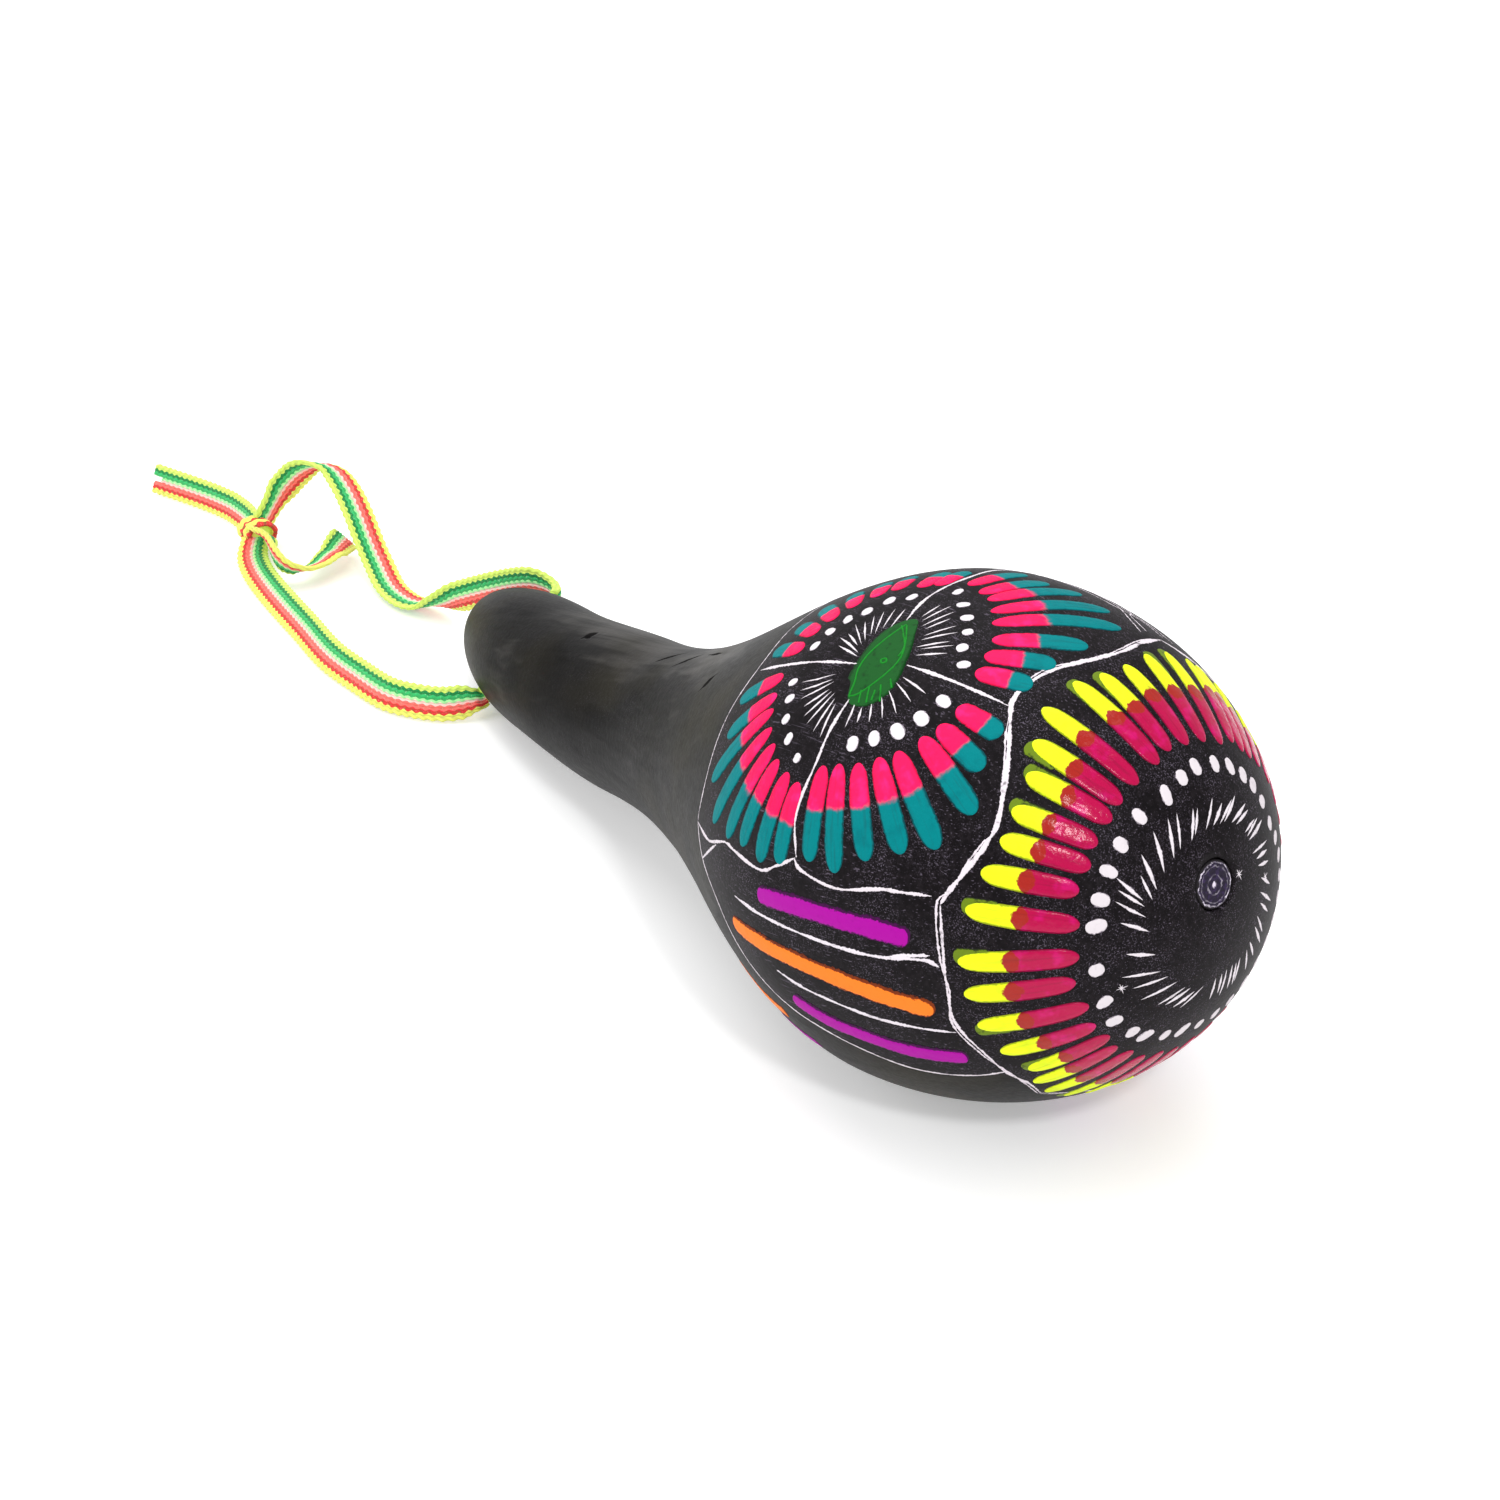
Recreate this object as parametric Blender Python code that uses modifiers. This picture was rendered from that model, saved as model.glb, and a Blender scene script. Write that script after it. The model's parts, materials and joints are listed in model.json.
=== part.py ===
"""A gourd maraca lying on its side.

A dried gourd with a curved neck is hollowed to a thin shell. Seeds lie loose in its bowl, a peg closes
the hole that they went in by, and a flat braid is threaded through the neck and knotted.

Lengths are in metres and +Z is up. A station is a place along the gourd's own axis, counted from the
widest ring of the bowl: positive towards the blossom end, negative towards the neck's tip. The origin
lies on the floor under the middle of the gourd.
"""

import math

import bmesh
import bpy
from mathutils import Euler, Vector

# Gourd: bowl, shoulder, neck and wall
BOWL_RADIUS = 0.044
CROWN_LENGTH = 0.055  # widest ring to blossom end
SHOULDER_LENGTH = 0.097  # widest ring to neck root
SHOULDER_POWER = 1.2  # above 1, the shoulder draws in sooner behind the bowl
NECK_ROOT_RADIUS = 0.0163
NECK_LENGTH = 0.043  # neck root to the start of its rounded end
NECK_END_RADIUS = 0.0146
NECK_CAP_LENGTH = 0.048  # rounded end of the neck
NECK_SWEEP = 0.024  # sideways bend at the neck's tip
SWEEP_START = 0.0582  # distance behind the widest ring where the bend begins
WALL = 0.0035
HOLLOW_CAP_LENGTH = 0.012  # rounded end of the hollow; the neck beyond it is solid pith
REST_FLAT_DEPTH = 0.0004  # worn flats under the bowl and under the neck's end

# Peg in the filling hole
PEG_RADIUS = 0.0039
PEG_TAPER = 0.0003  # radius lost by the peg's inner end
PEG_INNER_LENGTH = 0.002  # how far the peg stands inside the wall
PEG_RECESS = 0.0003
PEG_EDGE_ROUND = 0.0005
PEG_RISE = math.radians(4.35)  # the peg sits a little above the gourd's axis

# Seeds
SEED_COUNT = 12
SEED_LENGTH = 0.0054
SEED_WIDTH = 0.0046

# Hole through the neck
CORD_HOLE_FROM_TIP = 0.0235
CORD_HOLE_TURN = math.radians(54)  # from the neck's top, towards the side that the neck bends to
CORD_HOLE_SLANT = math.radians(19)  # the upper mouth lies nearer the tip

# Braid
BRAID_WIDTH = 0.0075
BRAID_THICKNESS = 0.0014
BRAID_EDGE_ROUND = 0.0004
GATHERED_RADIUS = 0.0021  # braid drawn together in the neck
GATHER_LENGTH = 0.009  # stretch over which the braid opens out flat
MOUTH_STANDOFF = 0.0006  # how far the gathered braid stands out of the neck
MOUTH_RUN = 0.0025  # straight run of each strand out of its mouth
BRAID_STEP = 0.005
KNOT_RADII = Vector((0.0054, 0.0046, 0.0043))

CLEARANCE = 0.0003  # between pieces that touch, and over the floor

# Braid routes, in millimetres from the floor under the middle of the neck's hole: x, y, the height
# above where the braid would lie at that lean, and the lean of its green edge from upright in degrees
LOWER_ROUTE = (
    (3.1, -15.2, 0.3, 30),
    (0.4, -20.5, 0, 30),
    (-4.7, -24.6, 0, 32),
    (-12.1, -27.5, 0, 36),
    (-23.6, -27.7, 0, 44),
    (-37.3, -27.1, 0, 50),
    (-54.5, -23.9, 0, 55),
    (-69.1, -21.2, 0, 62),
    (-80.8, -18.7, 0, 70),
    (-90.9, -16.1, 0.3, 78),
    (-99.1, -12.8, 0.8, 84),
)
UPPER_ROUTE = (
    (-6.8, 13.9, 16.5, 0),
    (-14.3, 11.5, 14.5, 0),
    (-23.9, 9.9, 10.3, 0),
    (-34.6, 7.3, 5, 0),
    (-40.9, 5.9, 2.1, -40),
    (-47.6, 4.8, 1.1, -80),
    (-53.8, 3.3, 0.8, -90),
    (-61.8, 3.8, 1.3, -90),
    (-70.8, 5.9, 4.2, -90),
    (-76.6, 6.9, 8, -90),
    (-81.9, 7.9, 12, -90),
    (-88.5, 8.9, 16, -88),
    (-94.8, 8.9, 18.4, -80),
    (-99, 6.7, 18.5, -65),
    (-102.9, 4.8, 15.4, -35),
    (-106.4, 2.9, 11.5, -12),
    (-108.4, 0.1, 7.4, 0),
)
SHORT_TAIL_ROUTE = (
    (-97, -10.2, 4.4, -128),
    (-91.8, -11.6, 3.2, -166),
    (-85.5, -13, 2.1, -168),
    (-81.3, -12.2, 1.5, -142),
    (-79.5, -9.5, 2.1, -114),
    (-79.8, -5.5, 2.3, -108),
    (-83.7, 0.8, 3.2, -92),
    (-90, 7.8, 0.9, -50),
)
LONG_TAIL_ROUTE = (
    (-114, -5.7, 1, 25),
    (-119.5, -4.8, 0.6, 25),
    (-125.5, -4.5, 0.4, 25),
    (-133.7, -5.3, 0.1, 25),
    (-142, -7.2, 0.1, 25),
    (-148.5, -8.9, 0.1, 25),
    (-154.9, -10.5, 0.1, 25),
)
KNOT_PLACE = (-106.5, -7.1)
MILLIMETRE = 0.001

# Facets
SHELL_SEGMENTS = 40
HOLLOW_SEGMENTS = 36
PEG_SEGMENTS = 24
CROWN_RINGS = 10
SHOULDER_RINGS = 14
NECK_RINGS = 5
CAP_RINGS = 9
SAMPLES = 2000
ROUTE_SAMPLES = 40  # between two route points
MERGE_DISTANCE = 0.00001


def smoothstep(share):
    return share * share * (3 - 2 * share)


class GourdForm:
    """A turned gourd before its neck is bent. Its hollow is the same form, drawn in by the wall."""

    def __init__(self, wall, cap_length):
        self.crown_length = CROWN_LENGTH - wall
        self.bowl_radius = BOWL_RADIUS - wall
        self.root_radius = NECK_ROOT_RADIUS - wall
        self.end_radius = NECK_END_RADIUS - wall
        self.cap_length = cap_length
        self.cap_start = -(SHOULDER_LENGTH + NECK_LENGTH)
        self.tip = self.cap_start - cap_length

    def radius(self, station):
        if station >= 0:
            return self.bowl_radius * math.sqrt(max(1 - (station / self.crown_length) ** 2, 0))
        if station >= -SHOULDER_LENGTH:
            share = (1 + station / SHOULDER_LENGTH) ** SHOULDER_POWER
            return self.root_radius + (self.bowl_radius - self.root_radius) * smoothstep(share)
        if station >= self.cap_start:
            share = (station - self.cap_start) / NECK_LENGTH
            return self.end_radius + (self.root_radius - self.end_radius) * smoothstep(share)
        return self.end_radius * math.sqrt(max(1 - ((station - self.cap_start) / self.cap_length) ** 2, 0))

    def slope(self, station):
        step = self.crown_length / SAMPLES
        return (self.radius(station + step) - self.radius(station - step)) / (2 * step)

    def profile(self):
        """(radius, station) pairs from the blossom end to the neck's tip."""
        turns = [math.pi / 2 * i / CROWN_RINGS for i in range(CROWN_RINGS)]
        stations = [self.crown_length * math.cos(turn) for turn in turns]
        stations += [-SHOULDER_LENGTH * i / SHOULDER_RINGS for i in range(SHOULDER_RINGS)]
        stations += [-SHOULDER_LENGTH - NECK_LENGTH * i / NECK_RINGS for i in range(NECK_RINGS)]
        turns = [math.pi / 2 * i / CAP_RINGS for i in range(CAP_RINGS + 1)]
        stations += [self.cap_start - self.cap_length * math.sin(turn) for turn in turns]
        return [(self.radius(station), station) for station in stations]

    def lowest(self, tilt, first, last):
        """Height over the axis, and station, of the lowest point between two stations at this tilt."""
        stations = [first + (last - first) * i / SAMPLES for i in range(SAMPLES + 1)]
        return min((s * math.sin(tilt) - self.radius(s) * math.cos(tilt), s) for s in stations)


OUTSIDE = GourdForm(0, NECK_CAP_LENGTH)
HOLLOW = GourdForm(WALL, HOLLOW_CAP_LENGTH)


def tilt_at_rest():
    """Angle of the axis at which the bowl and the neck's end touch the floor together."""
    low, high = 0, math.pi / 4
    for _ in range(50):
        tilt = (low + high) / 2
        bowl = OUTSIDE.lowest(tilt, -SHOULDER_LENGTH, CROWN_LENGTH)[0]
        neck = OUTSIDE.lowest(tilt, OUTSIDE.tip, -SHOULDER_LENGTH)[0]
        low, high = (tilt, high) if bowl < neck else (low, tilt)
    return tilt


def sweep(station):
    """Sideways offset of the axis at a station, and its slope."""
    span = -OUTSIDE.tip - SWEEP_START
    share = max(-station - SWEEP_START, 0) / span
    return NECK_SWEEP * share * share, -2 * NECK_SWEEP * share / span


def bent(point):
    """A point of the straight gourd carried to the bent one, with its ring square to the bent axis."""
    offset, slope = sweep(point.z)
    across = point.y / math.hypot(1, slope)
    return Vector((point.x, offset + across, point.z - across * slope))


def clear_scene():
    for obj in list(bpy.data.objects):
        bpy.data.objects.remove(obj)
    for collection in list(bpy.data.collections):
        bpy.data.collections.remove(collection)


def new_collection(name):
    collection = bpy.data.collections.new(name)
    bpy.context.scene.collection.children.link(collection)
    return collection


def new_finish(name, colour, roughness):
    material = bpy.data.materials.new(name)
    material.use_nodes = True
    shader = material.node_tree.nodes["Principled BSDF"]
    shader.inputs["Base Color"].default_value = (*colour, 1)
    shader.inputs["Roughness"].default_value = roughness
    shader.inputs["Metallic"].default_value = 0
    return material


def new_object(name, data, collection, finish=None, parent=None):
    obj = bpy.data.objects.new(name, data)
    collection.objects.link(obj)
    obj.parent = parent
    if finish:
        data.materials.append(finish)
    return obj


def mesh_of(name, build):
    """A mesh filled by a function that takes its bmesh."""
    mesh = bpy.data.meshes.new(name)
    form = bmesh.new()
    build(form)
    form.to_mesh(mesh)
    form.free()
    return mesh


def turned(name, profile, segments, collection, finish=None, parent=None):
    """A profile of (radius, height) pairs, top to bottom, turned about Z."""
    mesh = bpy.data.meshes.new(name)
    edges = [(i, i + 1) for i in range(len(profile) - 1)]
    mesh.from_pydata([(radius, 0, height) for radius, height in profile], edges, [])
    obj = new_object(name, mesh, collection, finish, parent)
    turn = obj.modifiers.new("turn", "SCREW")
    turn.steps = segments
    turn.render_steps = segments
    turn.use_merge_vertices = True
    turn.merge_threshold = MERGE_DISTANCE
    turn.use_smooth_shade = True
    return obj


def turned_gourd(name, form, segments, collection, parent, finish=None):
    """A gourd form turned about its axis, then bent at its neck."""
    obj = turned(name, form.profile(), segments, collection, finish, parent)
    graph = bpy.context.evaluated_depsgraph_get()
    obj.data = bpy.data.meshes.new_from_object(obj.evaluated_get(graph))
    obj.modifiers.clear()
    for vertex in obj.data.vertices:
        vertex.co = bent(vertex.co)
    return obj


def cylinder_cutter(name, radius, length, collection, parent):
    def build(form):
        bmesh.ops.create_cone(
            form, cap_ends=True, segments=PEG_SEGMENTS, radius1=radius, radius2=radius, depth=length
        )

    return new_object(name, mesh_of(name, build), collection, parent=parent)


def cut(obj, cutter):
    """Takes the cutter's shape out of an object."""
    cutter.hide_render = True
    cutter.display_type = "WIRE"
    boolean = obj.modifiers.new(cutter.name, "BOOLEAN")
    boolean.operation = "DIFFERENCE"
    boolean.object = cutter


def place_gourd(collection):
    """The empty on the gourd's axis at the widest ring: its Z points along the axis and its X down."""
    tilt = tilt_at_rest()
    turn = Euler((0, math.pi / 2 - tilt, 0)).to_matrix()
    points = []
    for radius, station in OUTSIDE.profile():
        for i in range(SHELL_SEGMENTS):
            angle = 2 * math.pi * i / SHELL_SEGMENTS
            points.append(turn @ bent(Vector((radius * math.cos(angle), radius * math.sin(angle), station))))
    middle = [(min(p[i] for p in points) + max(p[i] for p in points)) / 2 for i in (0, 1)]
    lowest = OUTSIDE.lowest(tilt, OUTSIDE.tip, CROWN_LENGTH)[0]
    axis = new_object("gourd_axis", None, collection)
    axis.rotation_euler = (0, math.pi / 2 - tilt, 0)
    axis.location = (-middle[0], -middle[1], -lowest - REST_FLAT_DEPTH)
    bpy.context.view_layer.update()
    return axis, tilt


def peg_depth():
    """Distance from the axis's centre to the surface, along the peg."""
    return 1 / math.hypot(math.cos(PEG_RISE) / CROWN_LENGTH, math.sin(PEG_RISE) / BOWL_RADIUS)


def make_shell(parts, cutters, axis, finish):
    shell = turned_gourd("gourd_shell", OUTSIDE, SHELL_SEGMENTS, parts, axis, finish)
    shell.data.shade_smooth()
    cut(shell, turned_gourd("hollow", HOLLOW, HOLLOW_SEGMENTS, cutters, axis))

    fill_hole = cylinder_cutter("filling_hole", PEG_RADIUS + CLEARANCE, 4 * WALL, cutters, axis)
    fill_hole.rotation_euler = (0, -PEG_RISE, 0)
    fill_hole.location = fill_hole.rotation_euler.to_matrix() @ Vector((0, 0, peg_depth() - WALL / 2))
    cut(shell, fill_hole)

    cord_hole_radius = GATHERED_RADIUS + CLEARANCE
    cord_hole = cylinder_cutter("cord_hole", cord_hole_radius, 4 * NECK_ROOT_RADIUS, cutters, None)
    middle, heading = cord_hole_line(axis)
    cord_hole.location = middle
    cord_hole.rotation_euler = heading.to_track_quat("Z", "Y").to_euler()
    cut(shell, cord_hole)

    side = 4 * (CROWN_LENGTH - OUTSIDE.tip)
    floor = new_object(
        "floor_flat", mesh_of("floor_flat", lambda form: bmesh.ops.create_cube(form, size=side)), cutters
    )
    floor.location.z = -side / 2
    cut(shell, floor)


def make_peg(parts, axis, finish):
    length = WALL + PEG_INNER_LENGTH
    inner_radius = PEG_RADIUS - PEG_TAPER
    profile = (
        (0, 0),
        (PEG_RADIUS - PEG_EDGE_ROUND, 0),
        (PEG_RADIUS, -PEG_EDGE_ROUND),
        (inner_radius, PEG_EDGE_ROUND - length),
        (inner_radius - PEG_EDGE_ROUND, -length),
        (0, -length),
    )
    peg = turned("blossom_plug", profile, PEG_SEGMENTS, parts, finish, axis)
    peg.rotation_euler = (0, -PEG_RISE, 0)
    peg.location = peg.rotation_euler.to_matrix() @ Vector((0, 0, peg_depth() - PEG_RECESS))


def make_seeds(parts, axis, tilt, finish):
    """Seeds lie along the lowest line of the hollow, each in a ring of its own round the axis."""

    def build(form):
        bmesh.ops.create_uvsphere(form, u_segments=12, v_segments=8, radius=0.5)
        bmesh.ops.scale(form, vec=(SEED_WIDTH, SEED_WIDTH, SEED_LENGTH), verts=form.verts)

    mesh = mesh_of("rattle_seed", build)
    mesh.shade_smooth()
    mesh.materials.append(finish)
    deepest = HOLLOW.lowest(tilt, -SHOULDER_LENGTH, HOLLOW.crown_length)[1]
    pitch = SEED_LENGTH + 2 * CLEARANCE
    for i in range(SEED_COUNT):
        station = deepest + (i - (SEED_COUNT - 1) / 2) * pitch
        slope = HOLLOW.slope(station)
        inward = Vector((-1, 0, slope)).normalized()
        seed = new_object(f"rattle_seed_{i + 1:02d}", mesh, parts, parent=axis)
        seat = Vector((HOLLOW.radius(station), 0, station))
        seed.location = seat + inward * (SEED_WIDTH / 2 + CLEARANCE)
        seed.rotation_euler = (0, math.atan(slope), 0)


def cord_hole_line(axis):
    """A point on the middle of the neck's hole, and the hole's direction towards its upper mouth."""
    station = OUTSIDE.tip + CORD_HOLE_FROM_TIP
    offset, slope = sweep(station)
    along = Vector((0, slope, 1)).normalized()
    side = Vector((0, 1, -slope)).normalized()
    up = Vector((-1, 0, 0))
    square = up * math.cos(CORD_HOLE_TURN) + side * math.sin(CORD_HOLE_TURN)
    heading = square * math.cos(CORD_HOLE_SLANT) - along * math.sin(CORD_HOLE_SLANT)
    turn = axis.matrix_world.to_3x3()
    return axis.matrix_world @ Vector((0, offset, station)), turn @ heading


def surface_distance(axis, start, heading):
    """How far the gourd's surface lies from an inner point, along a heading."""
    to_gourd = axis.matrix_world.inverted()
    near, far = 0, 2 * BOWL_RADIUS
    for _ in range(40):
        distance = (near + far) / 2
        point = to_gourd @ (start + heading * distance)
        offset, slope = sweep(point.z)
        station = point.z + (point.y - offset) * slope
        offset, slope = sweep(station)
        reach = math.hypot(point.x, (point.y - offset) * math.hypot(1, slope))
        inside = reach < OUTSIDE.radius(station)
        near, far = (distance, far) if inside else (near, distance)
    return near


def rest_height(lean):
    """Height of the middle of a braid that lies on the floor at this lean, in degrees."""
    upright = abs(math.cos(math.radians(lean))) * BRAID_WIDTH / 2
    flat = abs(math.sin(math.radians(lean))) * BRAID_THICKNESS / 2
    return CLEARANCE + upright + flat


def with_lift(place, lean):
    """The route point that lies at this place."""
    return Vector((*place.xy, place.z - rest_height(lean), lean))


def place_of(point):
    """Where a route point lies."""
    return Vector((*point.xy, point.z + rest_height(point.w)))


def route_points(route, anchor):
    points = []
    for x, y, lift, lean in route:
        place = anchor + Vector((x, y, lift)) * MILLIMETRE
        points.append(Vector((*place, lean)))
    return points


def between(before, start, end, after, share):
    """A point between start and end on a smooth curve through four points."""
    straight = 2 * start + (end - before) * share
    square = (2 * before - 5 * start + 4 * end - after) * share ** 2
    cube = (3 * start - before - 3 * end + after) * share ** 3
    return (straight + square + cube) / 2


def smooth_route(points):
    """Route points at even steps along a smooth curve through the given ones."""
    ends = [2 * points[0] - points[1], *points, 2 * points[-1] - points[-2]]
    fine = []
    for four in zip(ends, ends[1:], ends[2:], ends[3:]):
        fine += [between(*four, i / ROUTE_SAMPLES) for i in range(ROUTE_SAMPLES)]
    fine.append(points[-1])
    distances = [0]
    for start, end in zip(fine, fine[1:]):
        distances.append(distances[-1] + (place_of(end) - place_of(start)).length)
    count = round(distances[-1] / BRAID_STEP)
    steps = []
    for i in range(count):
        steps.append(next(p for p, d in zip(fine, distances) if d >= distances[-1] * i / count))
    return [*steps, points[-1]]


def new_spline(curve, places):
    spline = curve.splines.new("POLY")
    spline.points.add(len(places) - 1)
    for point, place in zip(spline.points, places):
        point.co = (*place, 1)
    return spline


def braid_section(cutters):
    """The braid's flat section, on edge, with its corners taken off."""
    half_width, half_thickness = BRAID_WIDTH / 2, BRAID_THICKNESS / 2
    inner_width, inner_thickness = half_width - BRAID_EDGE_ROUND, half_thickness - BRAID_EDGE_ROUND
    corners = (
        (inner_thickness, half_width),
        (half_thickness, inner_width),
        (half_thickness, -inner_width),
        (inner_thickness, -half_width),
    )
    outline = [*corners, *((-x, -y) for x, y in corners)]
    curve = bpy.data.curves.new("braid_section", "CURVE")
    curve.dimensions = "2D"
    new_spline(curve, [(x, y, 0) for x, y in outline]).use_cyclic_u = True
    section = new_object("braid_section", curve, cutters)
    section.hide_render = True
    section.display_type = "WIRE"
    return section


def make_strand(name, steps, section, parts, finish, gathered=False):
    """A free stretch of braid; a gathered one starts drawn together at its mouth."""
    curve = bpy.data.curves.new(name, "CURVE")
    curve.dimensions = "3D"
    curve.twist_mode = "Z_UP"
    curve.bevel_mode = "OBJECT"
    curve.bevel_object = section
    curve.use_fill_caps = True
    places = [place_of(step) for step in steps]
    spline = new_spline(curve, places)
    narrow = 2 * GATHERED_RADIUS / BRAID_WIDTH
    for point, place, step in zip(spline.points, places, steps):
        point.tilt = math.radians(step.w)
        if gathered:
            opened = min((place - places[0]).length / GATHER_LENGTH, 1)
            point.radius = narrow + (1 - narrow) * smoothstep(opened)
    new_object(name, curve, parts, finish)


def make_braid(parts, cutters, axis, finish):
    middle, heading = cord_hole_line(axis)
    anchor = Vector((middle.x, middle.y, 0))
    upper_mouth = middle + heading * (surface_distance(axis, middle, heading) + MOUTH_STANDOFF)
    lower_mouth = middle - heading * (surface_distance(axis, middle, -heading) + MOUTH_STANDOFF)

    curve = bpy.data.curves.new("cord_in_neck", "CURVE")
    curve.dimensions = "3D"
    curve.bevel_depth = GATHERED_RADIUS
    curve.bevel_resolution = 2
    curve.use_fill_caps = True
    new_spline(curve, [lower_mouth, upper_mouth])
    new_object("cord_in_neck", curve, parts, finish)

    knot_x, knot_y = KNOT_PLACE
    knot_middle = anchor + Vector((knot_x * MILLIMETRE, knot_y * MILLIMETRE, CLEARANCE + KNOT_RADII.z))

    def build(form):
        bmesh.ops.create_uvsphere(form, u_segments=20, v_segments=12, radius=1)
        bmesh.ops.scale(form, vec=KNOT_RADII, verts=form.verts)

    knot_mesh = mesh_of("cord_knot", build)
    knot_mesh.shade_smooth()
    new_object("cord_knot", knot_mesh, parts, finish).location = knot_middle

    def knot_end(nearest):
        """Where a stretch meets the knot, on the side of its nearest route point."""
        outward = (place_of(nearest) - knot_middle).normalized()
        reach = 1 / Vector(side / radius for side, radius in zip(outward, KNOT_RADII)).length
        return with_lift(knot_middle + outward * (reach + CLEARANCE), nearest.w)

    section = braid_section(cutters)
    for name, mouth, outward, route in (
        ("cord_lower_strand", lower_mouth, -heading, LOWER_ROUTE),
        ("cord_upper_strand", upper_mouth, heading, UPPER_ROUTE),
    ):
        points = route_points(route, anchor)
        face = mouth + outward * CLEARANCE
        first = with_lift(face, points[0].w)
        run_end = with_lift(face + outward * MOUTH_RUN, points[0].w)
        steps = [first, *smooth_route([run_end, *points, knot_end(points[-1])])]
        make_strand(name, steps, section, parts, finish, gathered=True)
    for name, route in (("cord_tail_short", SHORT_TAIL_ROUTE), ("cord_tail_long", LONG_TAIL_ROUTE)):
        points = route_points(route, anchor)
        make_strand(name, smooth_route([knot_end(points[0]), *points]), section, parts, finish)


def main():
    clear_scene()
    parts = new_collection("gourd_maraca")
    cutters = new_collection("cutters")
    blackened_rind = new_finish("blackened_rind", (0.022, 0.02, 0.021), 0.5)
    stained_peg = new_finish("stained_peg", (0.04, 0.02, 0.035), 0.55)
    dry_seed = new_finish("dry_seed", (0.2, 0.11, 0.05), 0.6)
    neon_braid = new_finish("neon_braid", (0.6, 0.75, 0.12), 0.8)
    axis, tilt = place_gourd(parts)
    make_shell(parts, cutters, axis, blackened_rind)
    make_peg(parts, axis, stained_peg)
    make_seeds(parts, axis, tilt, dry_seed)
    make_braid(parts, cutters, axis, neon_braid)


main()
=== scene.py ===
"""Looks of a gourd maraca: a blackened rind with painted flowers and scratched lines, and a neon braid.

Lengths are in metres and angles in degrees. A place on the gourd is a turn and a polar angle seen from the
middle of the bowl: the turn goes round the gourd's axis from its top towards -Y, and the polar angle opens
from the blossom end. About a flower, turns go clockwise as seen from outside.
"""

from __future__ import annotations

import functools
import itertools
import json
import logging
import math
from contextlib import contextmanager
from dataclasses import dataclass
from enum import Enum
from random import Random
from typing import Any, Callable, Iterable, Iterator, Sequence

import bmesh
import bpy
from bpy.types import Material, Object
from mathutils import Matrix, Vector


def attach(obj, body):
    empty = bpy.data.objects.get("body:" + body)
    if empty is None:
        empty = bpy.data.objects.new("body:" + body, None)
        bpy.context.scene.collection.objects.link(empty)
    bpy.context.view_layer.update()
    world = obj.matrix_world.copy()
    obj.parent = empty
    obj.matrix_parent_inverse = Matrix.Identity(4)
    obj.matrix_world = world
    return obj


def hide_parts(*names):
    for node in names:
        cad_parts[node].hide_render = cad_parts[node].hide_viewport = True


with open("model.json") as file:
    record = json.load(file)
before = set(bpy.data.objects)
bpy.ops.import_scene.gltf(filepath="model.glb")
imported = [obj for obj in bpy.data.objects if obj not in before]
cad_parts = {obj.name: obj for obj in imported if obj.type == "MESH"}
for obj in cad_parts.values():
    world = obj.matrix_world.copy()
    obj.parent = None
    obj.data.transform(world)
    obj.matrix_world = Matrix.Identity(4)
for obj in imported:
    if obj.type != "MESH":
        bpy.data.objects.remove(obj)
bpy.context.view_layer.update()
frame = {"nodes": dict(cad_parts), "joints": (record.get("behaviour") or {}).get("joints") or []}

LOG = logging.getLogger("maraca")
MM = 0.001
UP = Vector((0, 0, 1))
BLOSSOM_POLE = Vector((0.9854, 0.0565, 0.1606)).normalized()
FLOWER_POLE = Vector((-0.0464, -0.5163, 0.8551)).normalized()
CLEARANCE = 0.3 * MM
MERGE_DISTANCE = 1e-6
BRAID_PITCH = 1.9 * MM
FLOWER_JOINT = 0.5
SHADE_REACH = 0.05
WHITE = (1.0, 1.0, 1.0, 1.0)
GOURD_BODY = "gourd"

Colour = tuple[float, float, float, float]
Degrees = tuple[float, float]
Values = tuple[float, ...]
Route = Sequence[Degrees]
Patch = tuple[Vector, Vector, float]
RoutePoint = tuple[float, float, float, float]


def srgb(red: float, green: float, blue: float) -> Colour:
    """A colour in display values of 0 to 255, as the linear values that a material takes."""

    def linear(value: float) -> float:
        """One channel in linear light."""
        share = value / 255
        return share / 12.92 if share <= 0.04045 else ((share + 0.055) / 1.055) ** 2.4

    return (linear(red), linear(green), linear(blue), 1.0)


def smoothstep(share: float) -> float:
    """The share eased at both ends, held between 0 and 1."""
    share = min(max(share, 0), 1)
    return share * share * (3 - 2 * share)


def between(ends: Sequence[float], share: float) -> float:
    """The value at a share of the way from one end to the other."""
    return ends[0] + (ends[1] - ends[0]) * share


def interpolate(stops: Route, place: float) -> float:
    """The value at a place on straight lines between stops of (place, value), flat beyond them."""
    if place <= stops[0][0]:
        return stops[0][1]
    for (left, low), (right, high) in zip(stops, stops[1:]):
        if place <= right:
            return between((low, high), (place - left) / (right - left))
    return stops[-1][1]


def smooth_route(points: Sequence[Vector], samples: int) -> list[Vector]:
    """Points on a smooth curve through the given ones.

    Args:
        points: Places that the curve goes through, as vectors of any size.
        samples: Steps between two places.

    Returns:
        The curve's points, from the first place to the last.
    """
    ends = [2 * points[0] - points[1], *points, 2 * points[-1] - points[-2]]
    fine = []
    for before, start, end, after in zip(ends, ends[1:], ends[2:], ends[3:]):
        for i in range(samples):
            share = i / samples
            straight = 2 * start + (end - before) * share
            square = (2 * before - 5 * start + 4 * end - after) * share**2
            cube = (3 * start - before - 3 * end + after) * share**3
            fine.append((straight + square + cube) / 2)
    return [*fine, points[-1]]


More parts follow.
